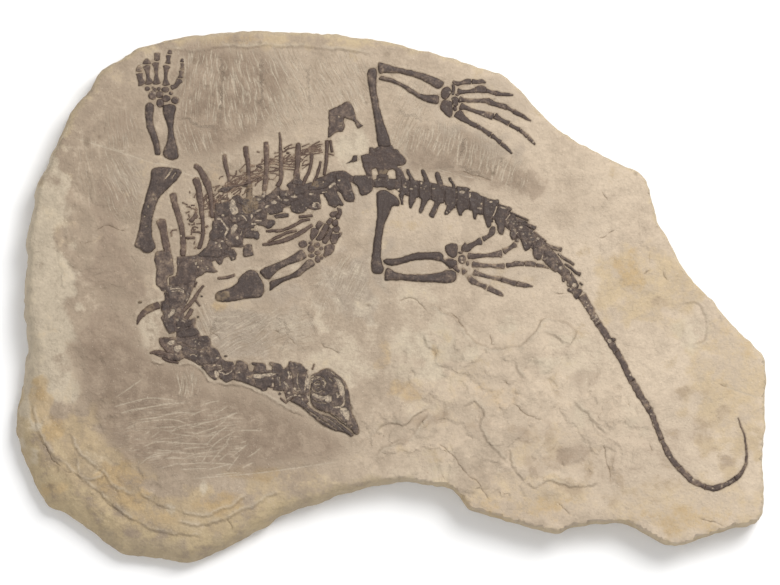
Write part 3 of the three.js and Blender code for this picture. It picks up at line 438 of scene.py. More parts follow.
# %% [markdown]
# Between the plaques the bone is crushed to crumbs that no one could tell apart. Three flat beds
# of it lie under the neck, the trunk and the base of the tail, and five small ones fill in at the
# hip and beside it. Their ragged edges, and the gaps in them, make the outline that the eye reads
# as the animal's backbone.

# %% Beds of crushed bone
neck_bed = [
    (-120, 21), (-119.7, 12), (-121, 10.5), (-124, 10), (-124.5, 5), (-128, 6), (-130, 4.5), (-128.5, 2),
    (-126, 1.5), (-126.3, -3), (-129, -4), (-129, -8.5), (-127.3, -11), (-129, -13), (-127, -16.5),
    (-124, -21.5), (-120.5, -20.8), (-120.3, -23.7), (-127, -24.3), (-129.3, -25.5), (-128, -28.5),
    (-125, -32.2), (-127.5, -31.8), (-132, -31.2), (-135, -32.6), (-131.5, -34), (-126, -36.3),
    (-122, -37.6), (-118, -37), (-115.5, -35.6), (-112, -37.2), (-108, -39.5), (-105.3, -40.3), (-103, -43),
    (-101, -45.6), (-98.3, -47.5), (-97, -46.5), (-97.3, -45.3), (-94.8, -47.8), (-92, -49.2), (-88, -47.8),
    (-84, -48.4), (-79, -50.5), (-76.5, -51.8), (-74, -52.4), (-71.5, -54), (-69, -51.8), (-66.5, -52.5),
    (-64, -53.4), (-61, -52.5), (-59.5, -56), (-58, -60.5), (-55, -58), (-52, -59), (-48, -62), (-46, -60),
    (-45.5, -50), (-47.5, -42), (-49.5, -40), (-52, -39.3), (-56.5, -37.4), (-57.6, -39.5), (-60, -41.8),
    (-61.5, -39.5), (-64, -39), (-67.5, -38), (-66.3, -39.8), (-66.8, -42.4), (-70, -42.3), (-70.3, -39),
    (-73, -38.3), (-78, -38.7), (-76.2, -40), (-77.6, -42.8), (-79.6, -43.2), (-81, -38.6), (-85.5, -37.2),
    (-86, -39.3), (-87.8, -39.5), (-88.5, -37.6), (-92, -37.5), (-94.3, -36), (-96, -33), (-97.2, -31),
    (-100.5, -29), (-101.3, -26), (-102, -23.6), (-106.3, -23.3), (-107.4, -21), (-109.5, -18),
    (-109.3, -13), (-112.5, -14), (-115.5, -13), (-116, -9), (-114.8, -6), (-112, 0), (-109.8, 6), (-109, 9),
    (-106.5, 11), (-103, 12.5), (-97, 12.8), (-99.5, 15.5), (-101, 20), (-105, 23.5), (-110, 22),
]
trunk_bed = [
    (-98.3, 51.2), (-94, 51.2), (-90.3, 52.5), (-88.5, 55), (-85.5, 56), (-84.5, 54), (-81.3, 54.2),
    (-81, 60), (-77.9, 62.5), (-77.7, 55.6), (-72.6, 55.4), (-72, 58.5), (-69.8, 58), (-70, 55.4),
    (-67.5, 57), (-65, 59.5), (-63, 61), (-61.5, 58.8), (-57.5, 58.5), (-56.8, 61.5), (-54.2, 64.5),
    (-51, 62.3), (-48.5, 60.8), (-45, 61.5), (-42, 65), (-37, 66.8), (-34, 68.8), (-29, 69.5), (-25, 69),
    (-21.5, 66.6), (-15, 67), (-10.5, 66.5), (-10.5, 61), (-12, 58), (-15, 55.5), (-17.5, 56.5), (-19, 61),
    (-22.5, 63), (-21.5, 58), (-20.5, 54), (-21, 52), (-24.5, 52.2), (-27, 55.5), (-30, 58), (-30.3, 56.5),
    (-27, 51.5), (-29, 50), (-32.5, 49.8), (-35, 52), (-37, 56.5), (-39.8, 56.3), (-39, 50.5), (-39.5, 48),
    (-42.5, 47.3), (-47, 48.3), (-49, 46), (-52, 45.3), (-55.5, 46.3), (-57, 49), (-60, 48.5), (-60.8, 46.2),
    (-65, 45.4), (-69, 46), (-69.5, 42.2), (-65.6, 41.8), (-64.8, 40), (-66.8, 37.5), (-69, 36.9),
    (-71.7, 38.8), (-75.5, 39.2), (-77, 37.8), (-78.6, 36.6), (-78, 36), (-74.2, 35.6), (-73.7, 33.4),
    (-75, 30.6), (-77, 31.6), (-82.4, 31.6), (-83, 28.5), (-82, 27), (-83.5, 26.3), (-89.3, 26.4),
    (-89.3, 23.8), (-86.8, 21.5), (-87, 19.4), (-89.3, 18.8), (-91, 21.3), (-93.6, 20.3), (-95, 17),
    (-97, 17.2), (-98.3, 19.2), (-101, 18), (-107, 19), (-105, 24), (-103, 27.5), (-101.7, 31),
    (-101.4, 34.5), (-99.5, 36), (-98.8, 40), (-99.3, 45),
]
tail_bed = shaft(
    (-12, 62.5, 4), (-4, 62.3, 4.4), (3, 62, 6), (9, 60, 9), (17, 59, 9), (25, 57.5, 9.5), (33, 56, 9),
    (41, 53.5, 10), (49, 51, 9.5), (56, 47.5, 9.5), (62, 44.5, 8.5), (68, 40, 8), (74, 35, 8.5),
    (80, 30.5, 8.5), (86, 24, 8.5), (91, 18.5, 7.5), (96, 13.5, 5), (100, 8.5, 4), (103, 3, 4),
)
hip_beds = [
    [(-14.2, 69.5), (-11.1, 69), (-10.2, 64.9), (-10.4, 62.6), (-13.4, 63)],
    [(-8, 67), (-1.7, 67), (-1.2, 63), (-8, 63)],
    [(2.4, 71), (5.4, 71.4), (8.4, 64.4), (7, 62.6), (3.2, 63), (2.4, 67)],
    [(-11.6, 77), (-11.2, 81.4), (-8.6, 82.4), (-6, 83.6), (0.4, 83.8), (1.8, 81), (1.4, 77), (-4, 75.5)],
    [(-56.4, 58.6), (-58.6, 61.4), (-54.8, 65), (-53.9, 69), (-51.5, 69), (-51, 65.2), (-47.9, 62.4),
     (-44.3, 63.2), (-44.3, 58.6), (-50, 57.1)],
]
bone_beds = [*hip_beds, neck_bed, trunk_bed, tail_bed]
print("corners of the beds:", [len(bed) for bed in bone_beds])

# %% [markdown]
# ## The thin end of the tail
#
# The tail tapers from five millimetres of bone to a thread. Its vertebrae are all alike, so one
# loop cuts a single long centreline into drums of between four and five millimetres, each a
# little pinched in the middle. They have grown together by fours, with a hair of stone between.

# %% Tail drums
tail_line = [
    (107, -0.7, 5.3), (110, -5.5, 4.6), (113, -11, 4.2), (116, -16, 4), (119, -20.5, 4), (121, -24, 4),
    (124, -28.5, 4.4), (127, -33, 4), (129.5, -38, 3.6), (132, -43, 3.6), (134.5, -48, 4), (137.5, -53, 4),
    (140.5, -58, 3.8), (143.5, -63, 3.8), (146, -67.5, 3.4), (148, -72.5, 3.2), (150, -78, 3), (152, -83, 3),
    (154.5, -88, 3.4), (157.5, -93, 3.4), (161, -97, 3.6), (165, -101, 3.6), (169, -104.5, 3.4),
    (174, -107, 3), (179, -108.5, 3.2), (183, -108, 3.4), (187, -106.5, 3), (191, -104.3, 3),
    (195, -101, 2.6), (197.5, -97, 2), (198.8, -93, 1.6), (198.8, -89, 1.2), (198.2, -84, 1.2),
    (198, -80, 1), (197, -77, 1), (195.5, -73, 0.8), (194, -69, 0.5),
]


def tail_lengths(line, drum_length=4.4, together=4, pinch=0.84):
    """Cuts a tail's centreline into short lengths, each of a few pinched drums grown together."""
    fine = curve(line, 0.1, closed=False)
    run = np.concatenate([[0], np.cumsum(np.linalg.norm(np.diff(fine[:, :2], axis=0), axis=1))])
    count = round(run[-1] / drum_length / together)
    ends = np.linspace(0, run[-1], count + 1)
    chance = np.random.default_rng(8)
    made = []
    for first, last in zip(ends, ends[1:]):
        at = np.linspace(first + 0.05, last - 0.05, 2 * together + 1)
        stations = np.stack([np.interp(at, run, column) for column in fine.T], 1)
        stations[1::2, 2] *= pinch
        stations[:, 2] *= chance.uniform(0.9, 1.12, len(at))
        stations[:, :2] += chance.uniform(-0.12, 0.12, (len(at), 2))
        made.append(shaft(*stations, bulge=0.02))
    return made


thin_tail = tail_lengths(tail_line)
print("lengths of the thin tail:", len(thin_tail))

# %% [markdown]
# ## Stone left in the bones
#
# The openings of a skull, and the seams between crushed bones, are still packed with stone. The
# preparator leaves it there, so it shows as pale marks inside the dark bone. Each mark is an
# outline; the bone under it is sunk a little and takes the colour of the stone.

# %% Pale marks
stone_marks = outlines([
    [(-31.6, -46.4, 1), (-29.6, -48, 2), (-28, -51, 3.2), (-27.3, -54.6, 3), (-26.3, -57.6, 1.3),
     (-25.9, -60, 1), (-27, -62, 1.2), (-30, -63.2, 1.1), (-32.3, -63, 0.9)],
    [(-30.2, -55, 1.6), (-29.4, -57.6, 1.5)], [(-30.6, -55.4, 1), (-28.2, -56.4, 1)], (-35, -58.3, 2.1, 2.2),
    [(-36.4, -57.8, 1.8), (-39, -57.2, 1.4), (-43.6, -55.6, 1.1)],
    # the crumbled cheek, with a ring of thin splinters round it
    [(-46, -47.4, 0.8), (-46.2, -50, 1.3), (-45.4, -52.6, 0.8)],
    [(-45.6, -47.6, 0.8), (-41.8, -47, 0.7), (-39.8, -46, 0.6)],
    [(-38.6, -47.8, 0.7), (-36.6, -49, 1), (-37.4, -52, 0.6)],
    [(-43.4, -50.6, 0.5), (-41, -50, 0.7), (-39.2, -50.2, 0.5)],
    [(-43.9, -55.8, 1.4), (-41, -57, 2.2), (-37.2, -58, 2)],
    [(-47, -56, 0.7), (-45.4, -59, 1), (-44.6, -62, 0.6)],
    [(-44.6, -62.6, 0.9), (-41.6, -65, 1.3), (-39, -66.8, 0.8)],
    [(-31.8, -62.9, 0.8), (-29.4, -62.9, 1.5), (-27, -62.2, 0.9)], [(-57.6, -43.2, 0.9), (-56.6, -46, 0.6)],
    [(-59.6, -49.2, 1.2), (-57.4, -51.6, 0.8)],
    [(-54.6, -52.8, 0.6), (-52.2, -53.8, 0.9), (-50.2, -53.4, 0.6)],
    [(-59, -59, 0.5), (-55.8, -57, 0.8), (-52.4, -56, 0.5)],
    [(-44.4, -49.6, 0.6), (-43.8, -47.4, 0.5), (-42, -46, 0.6), (-39.6, -46, 0.5), (-37.6, -47.2, 0.6),
     (-37, -49.4, 0.5)],
    [(-44.2, -52.4, 0.6), (-42.6, -54.2, 0.6), (-40, -54.6, 0.6), (-38, -53.6, 0.5)],
    [(-43, -50, 0.5), (-41.4, -48.6, 0.5), (-39.6, -48.8, 0.5)], [(-41.6, -52.4, 0.6), (-39.8, -51.6, 0.5)],
    [(-46.2, -47, 0.9), (-46.8, -50, 1.3), (-46.4, -52.6, 1)], [(-45, -46.4, 0.7), (-43, -45.4, 0.6)],
    [(-34.6, -46.6, 0.6), (-32.8, -48.6, 0.5)],
    [(-36.4, -60.8, 0.5), (-41, -60.4, 0.6), (-44.2, -58.6, 0.5)],
    [(-28.3, -63.6), (-25.6, -63.3), (-23.5, -65.5), (-23, -68.5), (-23.7, -70.5), (-25, -70.3),
     (-26.5, -68), (-28.2, -66.3)],
    [(-25, -71.4, 0.7), (-25.3, -72.4, 0.5)], (-22, -73.7, 0.6, 0.4),
    [(-36, -42.3, 0.5), (-33.5, -43.3, 0.6), (-31.3, -45, 0.6)], (-37.7, -50.8, 0.4, 0.7),
    (-40, -50.2, 0.8, 0.6), (-37.4, -54.4, 0.6, 0.4),
    [(-38.5, -67.6, 0.5), (-35, -69.6, 0.6), (-32, -71.6, 0.6), (-29, -74, 0.6), (-26.5, -76.2, 0.5)],
    [(-48, -63.6, 0.5), (-43, -67.3, 0.6), (-39, -69.9, 0.6), (-36, -71.8, 0.6), (-33, -73.8, 0.5),
     (-30.4, -75.4, 0.4)],
    [(-45, -62.6, 0.5), (-42, -64.2, 0.5)], [(-31.5, -67.6, 0.5), (-28, -70.4, 0.5), (-22.6, -75, 0.4)],
    [(-56.3, -43.5, 0.6), (-57.4, -47, 0.6)], [(-47, -45, 0.6), (-47.8, -50, 0.8), (-48.2, -54, 0.6)],
    [(-52, -44, 0.5), (-52.4, -49, 0.6), (-51.2, -53, 0.5)], [(-62.4, -46, 0.5), (-62, -51, 0.6)],
    (-124.3, -12, 0.8, 1.2), (-122, -8.4, 0.9, 0.6), (-119.5, -14.3, 0.8, 0.8), (-119, -18.5, 0.7, 0.4),
    (-97, -35.5, 1, 0.5), (-99, -39.5, 1, 0.5), (-80.3, -46.8, 0.7, 0.5), (-85, -43.5, 0.8, 0.5),
    (-74, 47.3, 1.8, 0.55, 20), (-69.5, 49.3, 1.5, 0.7, 30), (-65.5, 51.7, 1.8, 1), (-58.7, 53, 1.4, 0.65),
    (-54.3, 54.8, 1.8, 0.7), (-54, 56, 0.5, 0.6), (-44.5, 56.4, 1.5, 0.6), (-74, 53.5, 1.3, 0.8),
    (-58.5, 47.5, 2.2, 0.8, 15), (-37.8, 63.2, 0.5, 0.5), (-29, 64, 0.7, 0.6), (-43, 50.4, 1.2, 0.7, 20),
    (40, 57.5, 1.7, 1), (44.3, 55.5, 0.5, 1.2), (50.8, 51, 0.6, 0.6), (49.8, 48.5, 1.5, 0.5),
    (56, 52, 1, 0.45), (63, 48.7, 2, 0.5, -12), (17, 62.5, 0.6, 0.8), (17, 60, 0.6, 0.4), (24, 59.5, 1, 0.4),
    (11.5, 59.3, 1, 0.5), (8, 60.5, 1, 0.7), (69, 40, 0.7, 0.5), (73, 38, 1, 0.8), (78, 34, 1, 0.45),
    (82.5, 31.5, 1, 0.75), (81.3, 25.8, 0.5, 0.5), (95, 15, 1.1, 1), (93, 17, 0.5, 0.5),
    (102.7, 5.5, 1.3, 1.2), (122.5, -26, 1.3, 1.1), (109.6, -4.2, 0.5, 0.5), (109, -7, 0.6, 0.4),
    (116.2, -15.1, 0.5, 0.5), (134, -44.8, 0.5, 0.8), (146.6, -73, 0.6, 0.8), (148.2, -80, 0.5, 0.6),
    (156, -91, 0.7, 0.5), (169.2, -103.6, 1.1, 0.5), (151, -82.5, 0.4, 0.6), (180, -108.4, 0.8, 0.4),
    (39.5, 20.6, 0.8, 0.6), (39.9, 18.6, 0.6, 0.6),
    [(-98.6, -42.7), (-96.7, -43.5), (-96.3, -46), (-97.5, -46.9), (-98.7, -45)],
    [(-97, -39.5, 0.6), (-95, -40, 0.6), (-94.8, -42, 0.6), (-96.3, -43, 0.6), (-94, -43.9, 0.6),
     (-92.5, -44.7, 0.6), (-91, -44.2, 0.6), (-89.5, -43.2, 0.6), (-88.7, -42, 0.5)],
    [(-123, 1.6, 0.5), (-119, 2.1, 0.7), (-115.8, 1.2, 0.5)], [(-63.5, 55.3, 0.6), (-61.2, 52.8, 0.6)],
    [(59.3, 49.5, 0.5), (58.4, 46.6, 0.6), (57.3, 44, 0.5)],
    [(66.7, 45, 0.6), (65.5, 43.2, 0.6), (64.5, 42, 0.5)], [(71, 35, 0.5), (70, 34, 0.5)],
    [(86, 28, 0.5), (84.5, 26.5, 0.6)], [(85, 22, 0.7), (84.2, 18.5, 0.6)],
    [(0.4, 58.8, 0.7), (3.2, 58.2, 0.9), (5, 59.6, 0.6)],
    # gaps in the crushed trunk
    [(-90.4, 50.4), (-89, 53.4), (-87.4, 52.6), (-86.6, 49.4), (-85.4, 46.6), (-86.8, 45.2), (-88.2, 44.6),
     (-89.8, 46.6)],
    [(-84, 44.6, 0.6), (-82, 43.4, 0.8), (-81, 41.4, 0.6)],
    [(-89, 38), (-87, 39.5), (-85.7, 38.5), (-86.8, 36), (-89, 34), (-89.5, 36)],
    [(-95.5, 42.5, 0.8), (-93, 39, 1), (-91.5, 36.5, 1.2), (-93.2, 33.3, 1)],
    [(-87, 32), (-85.5, 33), (-85.3, 31.2), (-86.5, 31)], [(-56, 50, 0.7), (-60, 47.5, 1.6)],
    (-99, 47, 0.6, 0.9), (-94, 44.4, 0.9, 0.6), (-96.5, 42.5, 1, 0.7), (-78, 44, 0.7, 1.2),
    (-77.2, 55, 0.7, 0.5), (-98, 29, 0.8, 0.5), (-96, 27.5, 0.6, 0.9), (-94.5, 30, 0.9, 0.5),
    (-95, 26, 0.7, 0.4), (-92, 31, 0.6, 0.4), [(-43.5, 51.4, 0.5), (-40.5, 51.3, 0.6), (-39.8, 49.5, 0.6)],
    [(-44, 49.5, 0.6), (-41.5, 48.8, 0.8)], [(-34.5, 60, 1.4), (-31.5, 62.6, 1.4)],
    [(-38.5, 57.3, 0.5), (-35.5, 57.6, 0.5)], [(-68.8, 45.8, 0.5), (-69, 43.2, 0.8)],
    [(-76, 41.6, 0.9), (-72.5, 41.5, 0.7)], [(-78, 39.6, 0.9), (-75.5, 39.6, 0.8)],
    [(-83.5, 35.4, 0.5), (-84.2, 33.4, 0.5)],
    # gaps in the neck and between the ribs of the chest
    [(-76.8, -46.3), (-77, -45), (-72, -44.5), (-66, -43.8), (-64, -44.1), (-66.5, -45.6), (-70, -46),
     (-74, -47)],
    [(-123.5, 3, 0.5), (-120.5, 3.4, 0.8), (-118, 3.4, 0.9), (-115.8, 1.8, 0.6)],
    [(-123.8, 10.2, 0.5), (-121.5, 11.4, 0.8), (-120.7, 15, 1), (-121, 20, 1.2)],
    [(-125, -27.5), (-124, -26), (-121, -25.6), (-120.8, -27), (-123, -28.4)],
    [(-121.5, -29.5), (-118, -28.3), (-116.8, -29), (-118, -31.5), (-120, -32.2)],
    [(-124, -12), (-123, -9), (-121, -8.3), (-120.8, -10), (-122.5, -11.7)],
    [(-117, -14.6, 0.5), (-115, -15.3, 0.6)],
    [(-112.5, -33.8, 0.6), (-110, -33.6, 0.7), (-108.5, -34.6, 0.5)], (-110, -30.4, 0.9, 0.5),
    (-66, -50.5, 0.5, 1.2), (-66.3, -47, 0.6, 0.6), (-59.6, -49, 0.8, 0.5), (-58.6, -51.5, 0.6, 0.9),
    (-55.5, -46, 0.5, 1), (-57, -55, 0.9, 0.6), (-54, -52.5, 0.8, 0.5), (-51, -56.5, 0.8, 0.5),
    (-49.5, -58.5, 0.5, 0.8), (-53.8, -56.2, 0.5, 0.8), (-109, 17.5, 0.6, 1), (-105.5, 14, 0.8, 0.5),
    (-108, 15.5, 0.5, 0.5), (-103, 15.5, 0.7, 0.4), (-102.5, 14.5, 0.5, 0.4), (-106, 19, 0.5, 0.5),
    # a chipped and eroded shoulder end on the right arm, and flecks along its shaft
    [(-122.6, 70.6, 0.7), (-124.4, 67.6, 1.1), (-126.4, 65, 0.6)],
    [(-120.6, 68.6, 0.5), (-122.6, 65.4, 0.8)],
    [(-128, 72.6), (-126, 71.6), (-121.5, 72.2), (-121.5, 72.8), (-125, 72.6)], (-133, 54, 0.6, 0.9),
    (-136, 49.4, 0.5, 0.9), (-138, 44, 0.5, 0.5), (-137, 38.3, 0.6, 0.5), (-29, 100, 0.5, 0.6),
    (-28, 95, 0.7, 0.4), (-117.6, 33, 0.6, 0.6),
])
ochre_marks = outlines([  # where iron from the mud has stained a bone
    [(-100, -3), (-99, 1), (-95, 2), (-91, 1.5), (-90, -1), (-93, -3.5)], (-69.5, 5.5, 1.2, 3.4),
    [(-83, 46), (-83, 53), (-77, 55), (-74, 50), (-77, 46)],
    [(-82.3, 50), (-82, 60), (-77.8, 62), (-77.5, 50)], (-140.5, -4.3, 2, 1.4), (-136, -7, 4, 2.4),
    (-4, 69, 3.5, 1.4), (-41, 62, 4, 2),
])
print("pale marks:", len(stone_marks))

# %% [markdown]
# ## Measuring from an edge
#
# Nearly every shape here follows from one number: how far a point is inside an outline. It makes
# the rounded back of a bone, the worn rim of the slab and the pale ring round each bone.

# %% Distances and random bumps
def depth_inside(points, loop):
    """How far each point is inside a closed loop, and negative outside it."""
    loop = np.asarray(loop, float)
    depths = np.empty(len(points))
    after = np.roll(loop, -1, axis=0)
    edge = after - loop
    block = max(1, 2_000_000 // len(loop))
    for first in range(0, len(points), block):
        part = points[first:first + block, None, :2]
        from_corner = part - loop
        share = ((from_corner * edge).sum(2) / np.maximum((edge ** 2).sum(1), 1e-12)).clip(0, 1)
        gap = np.sqrt(((from_corner - share[..., None] * edge) ** 2).sum(2)).min(1)
        spans = (loop[:, 1] > part[..., 1]) != (after[:, 1] > part[..., 1])
        rise = np.where(edge[:, 1] == 0, 1, edge[:, 1])
        crossing = loop[:, 0] + (part[..., 1] - loop[:, 1]) * edge[:, 0] / rise
        inside = (spans & (part[..., 0] < crossing)).sum(1) % 2 == 1
        depths[first:first + block] = np.where(inside, gap, -gap)
    return depths


def near(points, loop, margin):
    """Which points lie in the loop's box, grown by a margin."""
    loop = np.asarray(loop)[:, :2]
    low, high = loop.min(0) - margin, loop.max(0) + margin
    return np.flatnonzero(((points[:, :2] > low) & (points[:, :2] < high)).all(1))


TABLE = 128  # random values on a side; the hills come round again after as many steps
AWAY_FROM_ZERO = 500  # keeps the table's own origin off the slab


def bumps(points, size, seed):
    """Smooth random hills and hollows about `size` mm across, from -1 to 1."""
    table = np.random.default_rng(seed).uniform(-1, 1, (TABLE, TABLE))
    turn = 0.7 * seed
    x, y = points[:, 0], points[:, 1]
    cell = np.stack([math.cos(turn) * x - math.sin(turn) * y,
                     math.sin(turn) * x + math.cos(turn) * y], 1) / size + AWAY_FROM_ZERO
    start = np.floor(cell).astype(int)
    part = cell - start
    part = part * part * (3 - 2 * part)

    def corner(i, j):
        return table[(start[:, 0] + i) % TABLE, (start[:, 1] + j) % TABLE]

    low = corner(0, 0) * (1 - part[:, 0]) + corner(1, 0) * part[:, 0]
    high = corner(0, 1) * (1 - part[:, 0]) + corner(1, 1) * part[:, 0]
    return low * (1 - part[:, 1]) + high * part[:, 1]


def smooth(value, low, high):
    """0 below `low`, 1 above `high`, and an easy slope between."""
    t = ((value - low) / (high - low)).clip(0, 1)
    return t * t * (3 - 2 * t)


def oval(points, x, y, wide, high):
    """How far out each point is in an oval: 0 at its middle and 1 on its outline."""
    return np.hypot((points[:, 0] - x) / wide, (points[:, 1] - y) / high)


def face_level(points):
    """The height of the slab's gently uneven face, which the bones lie on."""
    return FACE - 0.35 + 0.45 * bumps(points, 70, 1) + 0.25 * bumps(points, 24, 2)


# %% [markdown]
# ## Raising a bone
#
# A bone starts as its outline. Points are scattered inside it, the whole is cut into triangles,
# and each point is lifted by its distance from the edge: quickly at first, then hardly at all,
# like the quarter of an ellipse. Under the edge the wall goes down into the stone and draws in a
# little, so that the bone sits in the slab like a stone in a ring.

# %% Meshes
def anticlockwise(loop):
    """The same loop, turned round if it runs clockwise."""
    loop = np.asarray(loop, float)
    after = np.roll(loop, -1, axis=0)
    area = (loop[:, 0] * after[:, 1] - loop[:, 1] * after[:, 0]).sum()
    return loop if area > 0 else loop[::-1]


def scattered(low, high, spacing, seed=3):
    """Points in staggered rows over a rectangle, each nudged a little out of line."""
    rows = np.arange(low[1], high[1] + spacing, spacing * 0.866)  # the height of an even triangle
    columns = np.arange(low[0], high[0] + spacing, spacing)
    x, y = np.meshgrid(columns, rows)
    x = x + (np.arange(len(rows)) % 2)[:, None] * spacing / 2
    points = np.stack([x.ravel(), y.ravel()], 1)
    return points + np.random.default_rng(seed).uniform(-0.2, 0.2, points.shape) * spacing


def triangulated(loops, inner):
    """Triangles over the area of the loops, using their edges and the inner points."""
    edges, count = [], 0
    for loop in loops:
        edges += [(count + i, count + (i + 1) % len(loop)) for i in range(len(loop))]
        count += len(loop)
    flat = np.vstack([*loops, inner])
    made = delaunay_2d_cdt([tuple(p) for p in flat], edges, [], 1, 1e-4, False)
    corners, faces = np.array(made[0])[:, :2], np.array(made[2])
    within = depth_inside(corners[faces].mean(1), loops[0]) > 0
    return corners, [tuple(face) for face in faces[within].tolist()]


def border_of(faces):
    """The closed rings of vertices round a patch of triangles, each in the faces' own direction."""
    sides = {(a, b) for face in faces for a, b in zip(face, face[1:] + face[:1])}
    onward = {a: b for a, b in sides if (b, a) not in sides}
    rings = []
    while onward:
        ring = [min(onward)]
        while ring[-1] in onward:
            ring.append(onward.pop(ring[-1]))
        rings.append(ring[:-1])
    return [ring for ring in rings if len(ring) > 2]


def drawn_in(ring, distance):
    """A ring of points moved inwards by a distance, for rings that run anticlockwise."""
    along = np.roll(ring, -1, axis=0) - np.roll(ring, 1, axis=0)
    along /= np.maximum(np.linalg.norm(along, axis=1), 1e-9)[:, None]
    return ring + np.stack([-along[:, 1], along[:, 0]], 1) * distance


SUNK = 1.0  # how deep a bone's foot is under the face
FOOT_INSET = 0.3  # how far its wall draws in on the way down
FINE, MEDIUM = 0.32, 0.55  # the shortest and longest step along a bone's edge
SEAM = 0.12  # rows of points follow a stone fill this far inside and outside its edge
DARK_AREAS = [(15, 62, 60, 36, 0.3), (55, 106, 30, 15, 0.2)]  # the hip, in darker bone, and the right foot, darkened as painted shade

FAMILIES = {  # rise above the stone, width of the rounded edge, size of the bumps, tone, warmth
    "skull": (1.4, 1.0, 0.30, 0.34, 0.2),
    "plaque": (1.0, 0.4, 0.36, 0.28, 0.2),
    "plate": (0.9, 0.6, 0.25, 0.38, 0.3),
    "limb": (1.3, 1.4, 0.16, 0.24, 0.2),
    "rib": (0.9, 0.7, 0.12, 0.34, 0.6),
    "small": (0.7, 0.6, 0.12, 0.38, 0.3),
    "block": (0.7, 0.35, 0.20, 0.34, 0.4),
    "hair": (0.45, 0.4, 0.05, 0.38, 0.9),
    "bed": (0.6, 0.5, 0.40, 0.34, 0.3),
}
ANGULAR = ("plaque", "bed", "plate", "block", "rib")  # families with broken, straight-sided outlines
tone_shifts = np.random.default_rng(12)


def overlapping(marks, edge):
    """The marks whose box meets the box of an outline, as smooth loops."""
    boxes = ((np.asarray(mark), mark) for mark in marks)
    return [curve(anticlockwise(mark), 0.4) for box, mark in boxes
            if (box.max(0) > edge.min(0)).all() and (box.min(0) < edge.max(0)).all()]


def covered(points, marks, soft):
    """1 inside any of the marks and 0 outside them."""
    shares = [smooth(depth_inside(points, mark), -soft, soft) for mark in marks]
    return np.max([np.zeros(len(points)), *shares], 0)


def bone_edge(loop, family):
    """The outline of a bone with its chips and notches; the stone is cut along the same line."""
    outline = anticlockwise(loop)
    extent = np.ptp(outline, axis=0).min()
    edge = curve(outline, min(MEDIUM, max(FINE, extent / 5)), bend=0.35 if family in ANGULAR else 1)
    chips = [0.55 * bumps(edge, 2.4, seed) + 0.45 * bumps(edge, 1.0, seed + 10) for seed in (5, 6)]
    return edge + min(0.34, 0.05 + 0.05 * extent) * np.stack(chips, 1)


def raised(loop, family):
    """One bone as vertices, faces, and its marks: stone fill, iron stain, tone and warmth."""
    rise, roll, rough, tone, warmth = FAMILIES[family]
    edge = bone_edge(loop, family)
    step = np.linalg.norm(edge[1] - edge[0]).clip(FINE, MEDIUM)
    inner = scattered(edge.min(0), edge.max(0), step)
    inner = inner[depth_inside(inner, edge) > 0.5 * step]
    fills = [fill + 0.15 * np.stack([bumps(fill, 1, 15), bumps(fill, 1, 16)], 1)
             for fill in overlapping(stone_marks, edge)]
    for fill in fills:
        rows = np.vstack([drawn_in(fill, SEAM), drawn_in(fill, -SEAM)])
        inner = np.vstack([inner, rows[depth_inside(rows, edge) > 0.25]])
    flat, faces = triangulated([edge], inner)

    depth = depth_inside(flat, edge).clip(0)
    dome = np.sqrt(1 - (1 - (depth / roll).clip(0, 1)) ** 2)
    middle = edge.mean(0)
    axis = np.linalg.eigh(np.cov((edge - middle).T))[1][:, 1]
    grain = np.stack([(flat - middle) @ axis / 9, (flat - middle) @ [-axis[1], axis[0]]], 1)
    wear = 0.6 * bumps(flat, 3.2, 8) + 0.4 * bumps(flat, 1.3, 9)
    lift = rise * (0.15 + 0.85 * dome) + rough * wear * dome + 0.10 * bumps(grain, 0.7, 10) * dome
    filled = covered(flat, fills, 0.13)
    stained = covered(flat, overlapping(ochre_marks, edge), 0.6)
    if family in ("plaque", "bed", "small"):
        filled = np.maximum(filled, 0.8 * smooth(bumps(flat, 0.9, 17) + 0.3 * bumps(flat, 6, 18), 0.78, 1.0))
    lift -= filled * (lift - 0.35 * rise).clip(0)
    level = face_level(flat)

    tone += tone_shifts.uniform(-0.07, 0.07)
    points = [np.column_stack([flat, level + lift])]
    body = list(faces)
    count = len(flat)
    worn = smooth(0.9 - depth, 0, 0.7) * smooth(bumps(flat, 3.4, 14), 0.1, 0.6)
    # painted highlight: each bone is made paler towards its edge, against the shade its rounded slope takes
    rim = 0.1 * (1 - depth / 0.7).clip(0)
    shade = tone + 0.2 * wear + 0.12 * bumps(flat, 9, 11) + 0.25 * worn + rim
    # darker bone at the hip, and painted shade over the right foot
    for *area, darker in DARK_AREAS:
        shade = shade - darker * smooth(1.4 - oval(flat, *area), 0, 0.6)
    marks = [np.stack([filled, stained, shade, np.full(count, warmth)])]
    for ring in border_of(faces):
        at = flat[ring]
        foot = drawn_in(at, FOOT_INSET)
        size = len(ring)
        for plan, height in ((at, level[ring]), (foot, np.full(size, level[ring].min() - SUNK))):
            points.append(np.column_stack([plan, height]))
            # the walls take the same painted lightening as the edge
            marks.append(np.tile([[0], [0], [tone + 0.1], [warmth]], size))
        for i in range(size):
            j = (i + 1) % size
            body.append((ring[i], count + i, count + j, ring[j]))
            body.append((count + i, count + size + i, count + size + j, count + j))
        body.append(tuple(count + size + i for i in reversed(range(size))))
        count += 2 * size
    return np.vstack(points), body, *np.hstack(marks)


